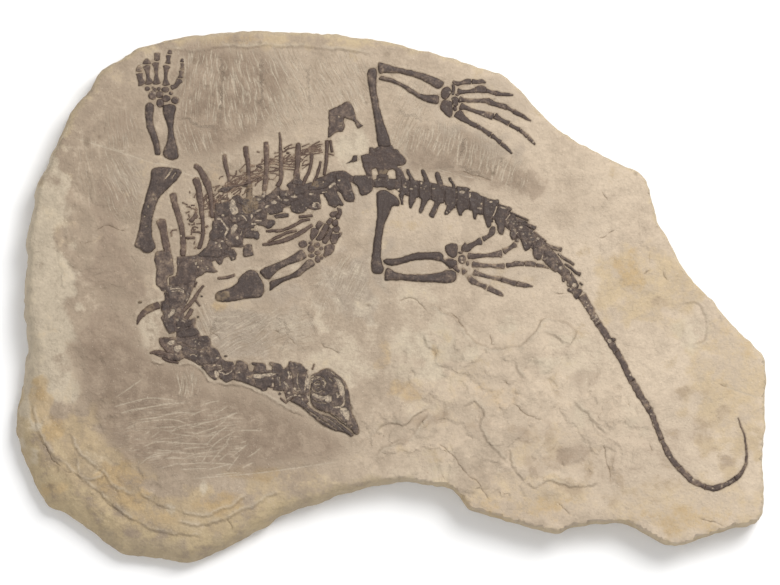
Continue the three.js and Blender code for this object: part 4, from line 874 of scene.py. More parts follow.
def add_piece(name, parts, marks, material, nodes=(), crease=None):
    """Makes one mesh object from (vertices in mm, faces, then one list of values for each mark)."""
    points = np.vstack([part[0] for part in parts])
    faces, first = [], 0
    for part in parts:
        faces += [tuple(first + i for i in face) for face in part[1]]
        first += len(part[0])
    mesh = bpy.data.meshes.new(name)
    mesh.from_pydata((points * MM).tolist(), [], faces)
    for column, mark in enumerate(marks):
        values = np.concatenate([part[2 + column] for part in parts]).astype(np.float32)
        kind, field = ("FLOAT", "value") if values.ndim == 1 else ("FLOAT_VECTOR", "vector")
        mesh.attributes.new(mark, kind, "POINT").data.foreach_set(field, values.ravel())
    mesh.polygons.foreach_set("use_smooth", [True] * len(mesh.polygons))
    if crease:
        mesh.set_sharp_from_angle(angle=math.radians(crease))
    mesh.materials.append(material)
    made = bpy.data.objects.new(name, mesh)
    bpy.context.scene.collection.objects.link(made)
    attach(made, "root")
    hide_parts(*nodes)
    return made


# %% [markdown]
# ## Material: phosphate bone
#
# Fossil bone is not bone any more. The mineral apatite has taken its place and stained it from
# nearly black to tobacco brown. It is close-grained, so it holds a dull polish where the needle
# cleaned it: a fairly rough surface, with the light catching the ridges. Where a bone is sunk
# under a fill of stone, the same surface changes to the stone's own colour.

# %% A node helper and colours
def colour(code):
    """A hex colour as the linear values that the shader wants."""
    parts = [int(code[i:i + 2], 16) / 255 for i in (1, 3, 5)]
    return (*(p / 12.92 if p <= 0.04045 else ((p + 0.055) / 1.055) ** 2.4 for p in parts), 1)


def add_node(tree, kind, sockets=(), out=0, **settings):
    """Adds a shader node and gives back one output. A socket takes a value, a hex colour or a link."""
    made = tree.nodes.new(kind)
    for setting, value in settings.items():
        setattr(made, setting, value)
    for socket, value in dict(sockets).items():
        if isinstance(value, bpy.types.NodeSocket):
            tree.links.new(value, made.inputs[socket])
        else:
            made.inputs[socket].default_value = colour(value) if isinstance(value, str) else value
    return made.outputs[out] if made.outputs else made


def start_material(name):
    """An empty material and its tree of nodes."""
    material = bpy.data.materials.new(name)
    material.use_nodes = True
    material.node_tree.nodes.clear()
    return material, material.node_tree


# %% What a finish is mixed from
def ingredients(tree, noises, stored):
    """Cloudy noises, given as size in mm, detail and roughness, and the marks stored on the mesh."""
    place = add_node(tree, "ShaderNodeTexCoord", out="Object")
    parts = {"place": place}
    for name, (size, detail, roughness) in noises.items():
        parts[name] = add_node(tree, "ShaderNodeTexNoise", {
            "Vector": place, "Scale": 1 / (size * MM), "Detail": detail, "Roughness": roughness})
    for name in stored:
        parts[name] = add_node(tree, "ShaderNodeAttribute", out="Fac", attribute_name=name)
    return parts


def summed(tree, parts, start, **weights):
    """A starting number plus each named part times its weight."""
    total = start
    for name, weight in weights.items():
        total = add_node(tree, "ShaderNodeMath", {0: parts[name], 1: weight, 2: total},
                         operation="MULTIPLY_ADD")
    return total


def share(tree, parts, start, low=0.0, high=1.0, strength=1.0, **weights):
    """How strongly a layer shows: nothing where the sum is `low`, and its full strength at `high`."""
    full = add_node(tree, "ShaderNodeMapRange", {
        "Value": summed(tree, parts, start, **weights), "From Min": low, "From Max": high},
        interpolation_type="SMOOTHSTEP")
    return add_node(tree, "ShaderNodeMath", {0: full, 1: strength}, operation="MULTIPLY", use_clamp=True)


def laid_over(tree, under, *layers):
    """Lays coats over a colour, one after another, each given as (how strongly it shows, colour)."""
    for strength, over in layers:
        under = add_node(tree, "ShaderNodeMix", {0: strength, 6: under, 7: over}, out=2, data_type="RGBA")
    return under


# %% Phosphate bone, needle cleaned
bone_marks = ("filled", "stained", "tone", "warm")


def phosphate_bone():
    material, tree = start_material("phosphate_bone_needle_cleaned")
    parts = ingredients(tree, {"clouds": (4, 4, 0.55), "flecks": (1.3, 5, 0.7), "fine": (0.4, 3, 0.55),
                               "dents": (1.2, 2, 0.55)}, bone_marks)

    mineral = add_node(tree, "ShaderNodeValToRGB", {
        "Fac": summed(tree, parts, -1.88, tone=1.0, clouds=1.9, flecks=1.6)})
    stops = mineral.node.color_ramp.elements
    stops[0].position, stops[0].color = 0.0, colour("#352b27")
    stops[1].position, stops[1].color = 1.0, colour("#a08c76")
    for position, code in ((0.3, "#4f423a"), (0.55, "#6a5b4e"), (0.8, "#85735f")):
        stop = stops.new(position)
        stop.color = colour(code)
    fill = laid_over(tree, "#75685b", (share(tree, parts, 0.0, 0.38, 0.62, flecks=1.0), "#b3a28b"))
    skin = laid_over(
        tree, mineral,
        (summed(tree, parts, 0.0, warm=0.3), "#7d5a45"),
        (share(tree, parts, 0.0, 0.6, 0.7, 0.3, fine=1.0), "#b39f87"),
        (share(tree, parts, -2.5, 0.4, 1.2, 0.45, stained=1.0, flecks=2.5, clouds=2.5), "#8c775a"),
        (parts["filled"], fill))

    bump = add_node(tree, "ShaderNodeBump", {
        "Strength": 0.6, "Distance": 0.3 * MM, "Height": summed(tree, parts, 0.0, dents=1.0, fine=0.25)})
    shader = add_node(tree, "ShaderNodeBsdfPrincipled", {
        "Base Color": skin, "Roughness": summed(tree, parts, 0.5, clouds=0.3), "IOR": 1.5, "Normal": bump})
    add_node(tree, "ShaderNodeOutputMaterial", {"Surface": shader})
    return material


bone_material = phosphate_bone()
print("material:", bone_material.name)

# %% [markdown]
# ## Building every bone
#
# Each packed bone becomes one piece that stands in for it. The small ones are joined by the part
# of the body that they belong to, which keeps the number of objects easy to read.

# %% Bones
DARK, BROWN = "dark_fossil_bone", "brown_fossil_bone"


def family_of(node):
    """Which family a packed bone belongs to, from its name."""
    if node in ("skull", "lower_jaw"):
        return "skull"
    if "vertebra" in node:
        return "plaque"
    if node.startswith("rib_"):
        return "rib"
    return "plate" if node.endswith(("blade", "plate", "breast_bone")) else "limb"


for node, plan in plans.items():
    family = family_of(node)
    slot = DARK if family in ("skull", "limb") else BROWN
    add_piece(f"fossil_{node}", [raised(plan, family)], bone_marks, bone_material, [node])

small_groups = {
    "right_hand": (right_hand, "small", BROWN), "left_hand": (left_hand, "block", BROWN),
    "right_foot": (right_foot, "small", BROWN), "left_foot": (left_foot, "small", BROWN),
    "small_ribs": (small_ribs, "rib", BROWN), "belly_ribs": (belly_ribs, "hair", BROWN),
    "backbone_pieces": (backbone_pieces, "plaque", BROWN), "tail_pieces": (tail_pieces, "plaque", BROWN),
    "thin_tail": (thin_tail, "small", BROWN), "crushed_bone": (bone_beds, "bed", BROWN),
}
for name, (loops, family, slot) in small_groups.items():
    add_piece(f"fossil_{name}", [raised(loop, family) for loop in loops], bone_marks, bone_material)
print("bones in all:", len(plans) + sum(len(loops) for loops, _, _ in small_groups.values()))

# %% [markdown]
# ## The slab
#
# Limestone splits along its old mud layers, so the plate has a nearly flat face and a rim that
# steps down in rounded ledges. The whole upper side is one sheet of triangles: we scatter points,
# add the outline of every bone, and work out each point's height. Inside a bone's outline the
# sheet dives under it, which leaves the bone sitting in a seat of its own.

# %% Outline and rim
middle_level = 9.0
outline_corners = anticlockwise(rings_at("slab", middle_level)[0])
face_corners = rings_at("slab", FACE)[0]
print("corners in the packed outline:", len(outline_corners), " round the flat face:", len(face_corners))


def bearing(points):
    """The direction of each point from the slab's middle, in degrees."""
    return np.degrees(np.arctan2(points[:, 1], points[:, 0]))


def rim_width(points):
    """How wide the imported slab's worn rim is in each point's direction."""
    turns = np.argsort(bearing(face_corners))
    reach = np.linalg.norm(face_corners, axis=1)[turns]
    whole = np.argsort(bearing(outline_corners))
    out_reach = np.linalg.norm(outline_corners, axis=1)[whole]
    inner = np.interp(bearing(points), bearing(face_corners)[turns], reach, period=360)
    outer = np.interp(bearing(points), bearing(outline_corners)[whole], out_reach, period=360)
    return np.maximum(outer - inner, 3)


broken_edge = curve(outline_corners, 1.2)
rough_edge = 0.7 * bumps(broken_edge, 7, 21) + 0.35 * bumps(broken_edge, 2.6, 22)
broken_edge = drawn_in(broken_edge, rough_edge[:, None])

# %% [markdown]
# ## Marks on the stone
#
# Four kinds of mark cross the face. Where a layer broke off, the stone drops along a ledge. Open
# cracks are narrow grooves. The preparator's needle left bold pale scratches, each a single pull
# of the hand, and between them a fine combing that runs one way over each area. The bold ones
# are made here, one by one or in rows; the combing is far too fine and is left to the material.

# %% Ledges and cracks
ledges = [  # line, how far the stone drops on its right-hand side
    ([(19.3, -6.6), (24.4, -5.9), (29.5, -9.1), (34, -12.3), (38.5, -17.4), (43.6, -23.2), (46.1, -26.4),
      (51.2, -28.9), (58.9, -29.8), (66.5, -29.5), (71.6, -28.3), (76.7, -25.1), (80.6, -20.6), (85, -15.5),
      (88.9, -13), (93.3, -14.5), (98.4, -15.5), (101.6, -18.7), (103.3, -21.9), (101.6, -27),
      (98.4, -29.5)], -0.9),
    ([(84, -20), (90, -22.5), (96, -25.6), (100, -28)], 0.5), ([(98.4, -32), (98.6, -38)], 0.5),
    ([(-10, -78), (-1, -72), (6.5, -73.5), (14, -67.5), (23, -63)], 0.8),
    ([(-10, -90), (0, -84), (10, -80), (17, -71), (23, -66)], -0.6),
    ([(69, -36), (71, -43), (76, -48)], 0.4), ([(18, -21), (20, -28), (26, -33), (24, -38)], 0.4),
    ([(39, -63), (46, -60), (52, -66), (50, -75), (56, -84), (63, -92), (66, -96)], 0.6),
    ([(101, -58.5), (108.5, -66), (117.5, -75), (122, -79.5)], 0.5),
    ([(65, -84), (68, -96), (74, -104), (80, -108), (88, -105), (98, -106.5), (108, -108), (117, -106)],
     0.7),
    ([(161, -5), (172, -5), (177, -14), (176, -25), (165, -28)], 0.35),
    ([(-176, -91), (-175, -101), (-162, -103), (-160, -93)], 0.5),
    # from the ground round the neck the stone steps down to the dark skin beside it
    ([(-137, -36.5), (-125, -39.5), (-118, -39.5), (-112, -39), (-106, -43.5), (-101, -49), (-94, -50.8),
      (-88, -49.8), (-80, -52.5), (-74, -55.5), (-66, -59.5), (-58, -64), (-48, -69.5)], 0.7),
    # the steps of the lower left corner
    ([(-201, -60), (-198, -74), (-193, -85), (-184, -94), (-172, -104), (-160, -114), (-148, -124),
      (-134, -131), (-118, -134.5), (-106, -135)], 0.55),
    ([(-181, -76), (-177, -85), (-171, -92), (-163, -98), (-158, -105), (-149, -111), (-142, -112)], 0.5),
    ([(-141, -112), (-130, -118), (-118, -121.5), (-108, -124), (-97, -122), (-88, -117.5), (-79, -112)],
     0.6),
    ([(-120, -127.5), (-108, -130), (-96, -126.5), (-84, -121), (-72, -115.5), (-62, -111)], 0.6),
    ([(-127, 139), (-110, 136.5), (-95, 138.5), (-80, 139), (-60, 139.5), (-40, 138.5), (-24, 137),
      (-10, 134.5)], 0.4),
]
cracks = [
    [(-195, -83), (-189, -92), (-182, -99), (-178, -99)], [(-161, -114), (-157, -118), (-152, -121)],
    [(5.3, -3.4), (12.3, -2.8), (16.5, -5.5), (20.6, -9.8)], [(33.5, -10.5), (37, -14.2), (40, -18.6)],
    [(27, -84), (35, -91.5), (44, -102), (50, -108), (55, -115)], [(93.5, -117), (99.5, -123)],
    [(68, -60), (74, -66), (84.5, -69.8)], [(62, -48), (65, -51)], [(56, -22.5), (56, -28)],
    [(119, -84), (120.5, -91.5), (122.8, -103.5)], [(184, -50), (188.5, -52)], [(145.5, -83), (146.5, -88)],
    [(-165, 35.5), (-160, 39), (-153, 36.5), (-149, 35)], [(-172, 28), (-166, 31)],
    [(117.4, 58.4), (121.6, 52.5)], [(116.3, 31.7), (124.8, 35.4)], [(145, 23), (145.6, 17)],
    [(152.6, 12.5), (153.6, 7)], [(141, 11), (145, 13)], [(92, -0.3), (97, -0.3)],
    [(172, -125), (186, -129)], [(-92, -125), (-89, -132)], [(-101, -21.5), (-98, -23.3), (-95, -25.3)],
    [(-57.3, -22.7), (-54.7, -25.3), (-52.7, -27.7)], [(-50, -22), (-49, -23.7)],
    [(-39.3, -27.7), (-36.7, -29.7), (-33.3, -30.7), (-29, -33.3)], [(-66, -20), (-62, -21.7)],
    [(39.4, 69.2), (48.4, 66.5), (56.2, 64.4)],
]

# %% Needle scratches, area by area
scratches = [
    # below the neck, long pulls to the right
    [(-154.5, -62.8), (-145, -60.2), (-135, -58), (-122, -59)], [(-154, -57.5), (-149, -54.3), (-140, -48)],
    [(-145, -64.5), (-136, -63.2), (-120, -60.5)], [(-141, -70), (-130, -68.6), (-118, -65)],
    [(-140, -71.5), (-130, -70.3), (-120, -70.4), (-115, -72)],
    [(-124, -77.5), (-118, -74), (-100, -71), (-86, -66)], [(-123, -77.8), (-110, -79.3), (-96, -78)],
    [(-110, -78.2), (-98, -74.2), (-92, -70)], [(-138, -85), (-131, -82.5), (-118, -83.2), (-101, -83.8)],
    [(-114.5, -91), (-104, -88.2)], [(-140, -94.8), (-133, -89.8), (-122, -88.5), (-108, -89), (-95, -87)],
    [(-129, -97.5), (-118, -94.2)], [(-120, -95.2), (-105, -94.3), (-88, -95)],
    [(-106, -94.5), (-101, -86.5), (-96.5, -82), (-88, -76.8)], [(-100, -93), (-93.5, -85), (-90, -79.5)],
    [(-103, -83.5), (-96, -76.8), (-91, -73.5)], [(-96, -93), (-92, -89.5)],
    [(-91.5, -98.5), (-84.5, -89.5)], [(-83, -97), (-77, -94)], [(-102, -98), (-90, -95)],
    [(-110, -103), (-92, -101.5), (-75, -100), (-32, -94)], [(-98, -66.5), (-92, -63)],
    [(-134, -80), (-129, -76.5)], [(-137, -78), (-135, -76.5)], [(-85, -76), (-72, -76)],
    [(-84, -83), (-81, -82)], [(-120, -45), (-118, -52), (-117, -57)],
    [(-117, -45), (-116.2, -50), (-116.5, -55)], [(-114.5, -45.5), (-114, -52), (-113, -56)],
    [(-112, -45), (-111, -52), (-111.5, -56)], [(-110, -46), (-109.3, -51)],
    # the fresh break over the right upper arm
    [(-133, 73.6), (-128, 73.4), (-122, 71.9), (-118, 69.2), (-112, 66.8), (-108.4, 66.4), (-104.6, 60.5)],
    # shallow ones between them
    *([(x, y), (x + 5, y + rise),
       (x + length, y + 1.6 * rise)] for x, y, length, rise in [ (-151, -66.5, 13, 1.6),
                                                                (-131, -62, 16, 0.8), (-127, -67.5, 15, 1),
                                                                (-112, -68, 9, 2.4), (-134, -75, 14, 0.6),
                                                                (-112, -74.6, 8, 1.8),
                                                                (-131, -87, 13, -0.4),
                                                                (-116, -86.4, 12, 0.6),
                                                                (-136, -91.6, 10, 1.2),
                                                                (-126, -91.6, 14, 0),
                                                                (-111, -91.2, 16, 0.5),
                                                                (-117, -98, 14, 0.4),
                                                                (-104, -79.4, 10, 2.2), (-97, -89, 6, 4.4),
                                                                (-88, -90, 8, 4), (-88, -86.5, 7, 1),
                                                                (-106, -62, 10, 1.6), (-95, -71, 9, 3),
                                                                (-98, -101, 14, 0.8), (-80, -91, 7, 3.2)]),
    # between the neck and the left arm
    [(-87, -19.3), (-80.7, -15.3), (-76, -12), (-70, -10.7)],
    [(-81.3, -19.7), (-74.7, -17), (-70, -12.7), (-67.3, -10.7)],
    [(-70.7, -19.3), (-67.3, -15.3), (-60, -12)], [(-70, -14.7), (-63.3, -11.3), (-60.7, -9.3)],
    [(-66.7, -10), (-63.3, -7.7)], [(-64, -17.7), (-59.3, -17.9), (-52, -16)],
    [(-101.3, -12), (-96.7, -12.7), (-84.7, -12.3)], [(-100, -16), (-90, -16)],
    [(-98.7, -21.3), (-91.3, -21.2)], [(-84.7, -8), (-78.7, -8.7)], [(-108, -8), (-105, -13), (-102, -20)],
    [(-105.5, -6), (-103, -12), (-101.5, -16)], [(-25.3, 1.3), (-22.7, 7.3), (-16.7, 18)],
    [(-21.3, 1.3), (-14.7, 14.7)], [(-17.3, 0.7), (-13.3, 8)], [(-32, 10), (-23.3, 22)],
    [(-20.7, -10), (-21, -15.3)],
    # beside the right arm, and long fine ones across the right of the slab
    [(-176, 87.5), (-160, 82.5), (-146, 78), (-134, 74)], [(-159.9, 74), (-157.7, 67.5)],
    [(-156.7, 82.8), (-153.3, 81.1), (-149.8, 80.4)], [(-155, 66), (-151, 57)], [(-151, 70), (-147.5, 61)],
    [(187, -51.5), (204, -57.4)], [(188, -25), (192, -30)], [(179, -14), (181, -18)],
]
pulls = np.random.default_rng(27)


def row_of_pulls(start, end, count, lean, length):
    """Short pulls of the needle side by side along a line, all dragged down the slab.

    The lean is sideways for each millimetre down, at the first pull and at the last.
    """
    start, end = np.asarray(start), np.asarray(end)
    made = []
    for share in (np.arange(count) + pulls.uniform(-0.3, 0.3, count)) / max(1, count - 1):
        top = start + share * (end - start) + [0, pulls.normal(0, 1.5)]
        slant = lean[0] + share * (lean[1] - lean[0]) + pulls.normal(0, 0.09)
        drag = pulls.uniform(0.6, 1.2) * length * np.array([slant, -1])
        made.append([top, top + 0.5 * drag + pulls.normal(0, 0.5, 2), top + drag])
    return made


for row in [
    ((8.5, 95), (40, 88), 17, (-0.35, -0.2), 11), ((42, 87), (70, 71), 14, (-0.15, -0.2), 11),
    # between the right hand and the thigh, fanning towards the ribs
    *(((left, top), (right, top), count, (-0.1, 0.4), 8.5) for left, right, top, count in [
        (-108, -62, 131, 13), (-105, -74, 121, 10), (-102, -58, 113, 11), (-99, -54, 104, 11)]),
    ((-52, 119), (-20, 118), 7, (0.45, 0.5), 5.5), ((-160, 80), (-146, 60), 6, (0.4, 0.5), 6),
]:
    scratches += row_of_pulls(*row)


def broken_line(line):
    """A given line made ragged, as stone breaks."""
    fine = curve(line, 0.9, closed=False)
    shift = [0.9 * bumps(fine, 5, seed) + 0.45 * bumps(fine, 1.8, seed + 1) for seed in (61, 63)]
    return fine + np.stack(shift, 1)


ledges = [(broken_line(line), drop) for line, drop in ledges]
cracks = [broken_line(line) for line in cracks]
scratches = [curve(line, 1.2, closed=False) for line in scratches]
print("ledges:", len(ledges), " cracks:", len(cracks), " scratches:", len(scratches))


# %% [markdown]
# ## Where the points go
#
# A step in the stone only looks sharp if the mesh has points close on both sides of it. So the
# upper side is not an even grid: coarse points fill it, and closer rows follow every ledge,
# crack and scratch, and every edge of the flaked layers.

# %% Distance from a line, and rows of points beside one
def line_distance(points, line):
    """Distance of points from an open line, on which side they are, and how near an end."""
    best = np.full(len(points), np.inf)
    side = np.zeros(len(points))
    run = np.zeros(len(points))
    lengths = np.linalg.norm(np.diff(line, axis=0), axis=1)
    starts = np.concatenate([[0], np.cumsum(lengths)])
    for a, b, length, start in zip(line, line[1:], lengths, starts):
        ab, ap = b - a, points - a
        share = ((ap @ ab) / length ** 2).clip(0, 1)
        gap = np.linalg.norm(ap - share[:, None] * ab, axis=1)
        closer = gap < best
        best[closer] = gap[closer]
        side[closer] = np.sign(ab[0] * ap[closer, 1] - ab[1] * ap[closer, 0])
        run[closer] = start + share[closer] * length
    return best, side, np.minimum(run, starts[-1] - run)


def in_rows(line, offsets):
    """Rows of points along a line, one for each offset from it."""
    along = np.gradient(line, axis=0)
    along /= np.linalg.norm(along, axis=1)[:, None]
    side = np.stack([-along[:, 1], along[:, 0]], 1)
    return np.vstack([line + side * offset for offset in offsets])


def clear_of(points, loops, margin):
    """Drops the points that lie closer than the margin to a loop."""
    keep = np.ones(len(points), bool)
    for loop in loops:
        which = near(points, loop, margin)
        if len(which):
            keep[which] &= np.abs(depth_inside(points[which], loop)) > margin
    return points[keep]


# %% Flaked layers
LAYER = 0.65  # mm, the thickness of one thin layer of mud


def layers(points):
    """Which thin layer is laid bare at each point; whole numbers are the edges of layers."""
    field = bumps(points, 30, 51) + 0.5 * bumps(points, 13, 52) + 0.22 * bumps(points, 5, 53)
    return 2.2 * (field + 0.1 * bumps(points, 2.2, 54))


def flaked(points):
    """How strongly the layers are broken up, 0 on the even parts of the face."""
    areas = [  # an oval, how far out its last flakes lie, and how strongly it is broken up
        (62, -72, 92, 50, 1.15, 0.9), (-165, -95, 46, 44, 1.1, 0.6), (-168, 15, 28, 62, 1.1, 0.6),
        (158, 8, 48, 52, 1.1, 0.35)]
    return np.max([strength * smooth(reach - oval(points, *area), 0, 0.4)
                   for *area, reach, strength in areas], 0)


def layer_edges(spacing=1.3, beside=0.28):
    """Points on both sides of each layer's edge, found where the layer changes between neighbours."""
    x, y = np.meshgrid(*(np.arange(slab_low[i], slab_high[i], spacing) for i in (0, 1)))
    grid = np.stack([x, y], -1)
    value = layers(grid.reshape(-1, 2)).reshape(x.shape)
    found = []
    for here, there in ((np.s_[:, :-1], np.s_[:, 1:]), (np.s_[:-1], np.s_[1:])):
        low, high = value[here], value[there]
        crossed = np.floor(low) != np.floor(high)
        border = np.maximum(np.floor(low), np.floor(high))[crossed]
        share = (border - low[crossed]) / (high - low)[crossed]
        found.append(grid[here][crossed] + share[:, None] * (grid[there] - grid[here])[crossed])
    on_edge = np.vstack(found)
    slope = np.stack([layers(on_edge + shift) - layers(on_edge - shift) for shift in ([0.4, 0], [0, 0.4])], 1)
    slope /= np.linalg.norm(slope, axis=1)[:, None]
    on_edge, slope = (values[flaked(on_edge) > 0.15] for values in (on_edge, slope))
    return np.vstack([on_edge - beside * slope, on_edge + beside * slope])


# %% The upper side as triangles
SEAT = 1.4  # how deep the seat under a bone is
SEAT_WALL = 0.4  # the width of the seat's sloping wall
COARSE = 1.85  # from point to point on the even parts of the face
CLOSEST = 0.34  # from point to point where rows of them meet
SCRATCH_REACH, CRACK_REACH = 0.55, 0.42  # half the width of a groove
beds = [bone_edge(loop, "bed") for loop in bone_beds]
bone_edges = [bone_edge(loop, family) for loops, family, _ in small_groups.values()
              for loop in loops if family != "bed"]
bone_edges += [bone_edge(plan, family_of(node)) for node, plan in plans.items()]
bone_edges = [edge for edge in bone_edges if all(depth_inside(edge, bed).min() < 0.3 for bed in beds)] + beds
print("outlines to cut into the stone:", len(bone_edges))

coarse = scattered(broken_edge.min(0), broken_edge.max(0), COARSE)
coarse = coarse[depth_inside(coarse, broken_edge) > 0.6 * COARSE]
lines = np.vstack([in_rows(line, (-0.52, 0, 0.52)) for line in scratches + cracks]
                  + [in_rows(line, (-1.2, -0.3, 0.3, 1.2)) for line, _ in ledges])
lines = lines[depth_inside(lines, broken_edge) > COARSE]
flakes = layer_edges()
flakes = flakes[depth_inside(flakes, broken_edge) > COARSE]
inner = np.vstack([lines, flakes, coarse])


def thinned(points, gap):
    """Drops each point that has an earlier one closer than the gap, by sorting them into cells."""
    cells = np.floor(points / gap).astype(int)
    taken, kept = set(), []
    for i, cell in enumerate(map(tuple, cells)):
        if cell not in taken:
            taken.add(cell)
            kept.append(i)
    return points[kept]


inner = clear_of(thinned(inner, CLOSEST), bone_edges, 0.35)
seat_floor = [drawn_in(edge, SEAT_WALL) for edge in bone_edges]
seat_floor = [floor[depth_inside(floor, edge) > 0.3] for floor, edge in zip(seat_floor, bone_edges)]
flat, faces = triangulated([broken_edge, *bone_edges], np.vstack([inner, *seat_floor]))
print("points on the upper side:", len(flat), " triangles:", len(faces))

# %% [markdown]
# Now the height and the colour marks of every point. Most marks are plain distances in
# millimetres: how far inside a dressed area, how far from a bone. The material turns a distance
# into a ragged border by adding noise to it, which a mesh is too coarse to do.

# %% Distances
REACH = 15.0  # mm, beyond which the distance from a dressed area no longer matters
NEAR_BONE = 5.0  # the same for the distance from a bone
nearest = np.full(len(flat), NEAR_BONE)
for edge in bone_edges:
    which = near(flat, edge, NEAR_BONE)
    nearest[which] = np.minimum(nearest[which], -depth_inside(flat[which], edge))
rim_depth = depth_inside(flat, broken_edge).clip(0)
rim = rim_depth / rim_width(flat)
open_stone = smooth(nearest, 0.3, 2)


def inside(loop):
    """How far inside a smooth loop each point is, in mm, up to the reach on both sides."""
    return depth_inside(flat, curve(anticlockwise(loop), 4)).clip(-REACH, REACH)


plateau = inside([
    (-174, -25), (-171, -45), (-168, -62), (-160, -78), (-148, -92), (-138, -101), (-110, -100), (-85, -98),
    (-60, -97), (-35, -92), (-27, -84), (-32, -78), (-48, -70), (-60, -63.5), (-66, -59), (-72, -56),
    (-78, -52.2), (-88, -49.2), (-94, -50.5), (-99, -50), (-104, -46), (-108, -42), (-113, -38.3),
    (-120, -39), (-130, -38), (-136, -36), (-143, -28), (-146, -18), (-154, -10),
])
upland = inside([
    (-122, 90), (-122, 115), (-117, 136), (-90, 138), (-73, 135), (-62, 126), (-60, 112), (-68, 99),
    (-82, 88), (-98, 78), (-112, 78),
])
saddle = inside([
    (5, 92), (4, 80), (10, 70), (30, 67), (56, 60), (78, 55), (86, 60), (76, 70), (52, 84), (30, 91)
])
print("dressed areas:", (plateau > 0).sum(), (upland > 0).sum(), (saddle > 0).sum())

# %% Heights
height = face_level(flat)
broken_up = flaked(flat)
layer = np.floor(layers(flat))
detail = broken_up * LAYER * layer
detail += (0.25 + 0.5 * broken_up) * bumps(flat, 12, 33)
detail += (0.7 * broken_up * (0.4 - np.abs(bumps(flat, 9, 36)))
           + 0.3 * broken_up * (0.4 - np.abs(bumps(flat, 4.5, 37))))
detail += 0.10 * bumps(flat, 5, 34) + 0.05 * bumps(flat, 2.4, 35) + 0.45 * smooth(plateau, -0.3, 0.5)
swirl = bumps(flat + 7 * np.stack([bumps(flat, 26, 71), bumps(flat, 26, 72)], 1), 13, 73)
crest = 0.35 - np.abs(swirl)
detail += 1.5 * broken_up * crest
grimy, lip = np.zeros(len(flat)), np.zeros(len(flat))
LEDGE_REACH = 22  # mm, beyond which a ledge has run out
# Along each ledge a dark line on the step is painted shade, broken up by noise, and a pale lip on its raised
# side is a painted highlight.
for line, drop in ledges:
    which = near(flat, line, LEDGE_REACH)
    gap, side, to_end = line_distance(flat[which], line)
    fade = (to_end / 4).clip(0, 1)
    detail[which] -= drop * smooth(-side * gap, -0.25, 0.25) * np.exp(-gap / 9) * fade
    broken_shade = smooth(bumps(flat[which], 6, 65) + 0.5 * bumps(flat[which], 2, 66), -1.1, 0.1)
    grimy[which] = np.maximum(grimy[which], 0.65 * fade * broken_shade * (1 - gap / 0.8).clip(0, 1))
    upper = fade * (side * drop > 0) * (1 - np.abs(gap - 1.1) / 1.1).clip(0, 1)
    lip[which] = np.maximum(lip[which], 0.75 * upper * smooth(bumps(flat[which], 5, 68), -0.6, 0.2))


def grooves(lines, width):
    """How deep in the nearest groove of a set each point lies, 1 at its bottom."""
    depth = np.zeros(len(flat))
    for line in lines:
        which = near(flat, line, width)
        if len(which):
            gap, _, to_end = line_distance(flat[which], line)
            groove = (1 - gap / width).clip(0, 1) * (0.35 + to_end / 2).clip(0, 1)
            depth[which] = np.maximum(depth[which], groove)
    return (depth * (0.95 + 0.5 * bumps(flat, 3, 67))).clip(0, 1)


scratched, cracked = grooves(scratches, SCRATCH_REACH), grooves(cracks, CRACK_REACH)
height += detail * open_stone - 0.12 * scratched * open_stone - 0.5 * cracked
height -= SEAT * (-nearest / SEAT_WALL).clip(0, 1)
steepness = 7 - 3.5 * smooth(1.3 - oval(flat, -165, -95, 75, 70), 0, 0.5)  # gentler at the lower left
slope = 1 - (1 - rim.clip(0, 1)) ** steepness
fall = middle_level + (height - middle_level) * slope
MUD_BED, ROUNDING = 3.2, 0.28  # mm between the steps of the rim, and how far each one bulges
bed_steps = fall / MUD_BED + 0.5 * bumps(flat, 34, 24) + 0.15 * bumps(flat, 8, 25)
part = bed_steps - np.floor(bed_steps)
fall += ROUNDING * MUD_BED * (part ** 3 - part) + 0.35 * bumps(flat, 6, 26) * (rim / 0.3).clip(0, 1)
on_face = smooth(rim, 0.7, 1.0)
height = fall * (1 - on_face) + height * on_face
height[rim_depth < 1e-6] = middle_level
print("upper side, lowest and highest, mm:", height.min().round(2), height.max().round(2))


# %% Stains and combing
def patches(spots, seed):
    """Soft-edged ovals given as (x, y, half width, half height, strength)."""
    total = np.zeros(len(flat))
    for x, y, wide, high, strength in spots:
        away = oval(flat, x, y, wide, high) + 0.45 * bumps(flat, 6, seed)
        total = np.maximum(total, strength * smooth(1.3 - away, 0, 0.7))
    return total


ochre = patches([
    (-196, -60, 6, 16, 1), (-190, -76, 7, 10, 0.9), (-150, -106, 15, 14, 1), (-190, -108, 10, 6, 0.7),
    (-96, -117, 12, 6, 0.8), (-72, -100, 16, 4, 0.8), (-130, -126, 16, 6, 0.6), (-84, 143, 12, 3, 0.8),
    (135, 14, 9, 13, 0.8), (155, 45, 6, 12, 0.6), (-4, -35, 6, 9, 0.8), (6, -54, 11, 7, 0.8),
    (70, -120, 40, 8, 0.5), (-96, -6, 3, 3, 0.6), (-98, 66, 6, 8, 0.5), (24.4, -30.8, 3, 4, 0.7),
    (-2.3, -33.4, 4, 4, 0.7), (160, -126, 30, 8, 0.5), (190, -30, 14, 20, 0.5), (60, -58, 12, 8, 0.4),
], 40)
golden = patches([
    (-175, -100, 40, 40, 1), (-120, -125, 60, 16, 1), (-60, -104, 30, 12, 0.7), (-200, -70, 10, 40, 0.9),
    (150, 5, 34, 24, 0.9), (190, -50, 26, 50, 0.8), (160, -118, 60, 18, 0.6), (70, -112, 60, 14, 0.6),
    (-190, 60, 12, 50, 0.5), (-20, 142, 120, 5, 0.6), (20, -60, 30, 30, 0.25), (90, -85, 30, 14, 0.5),
], 43)
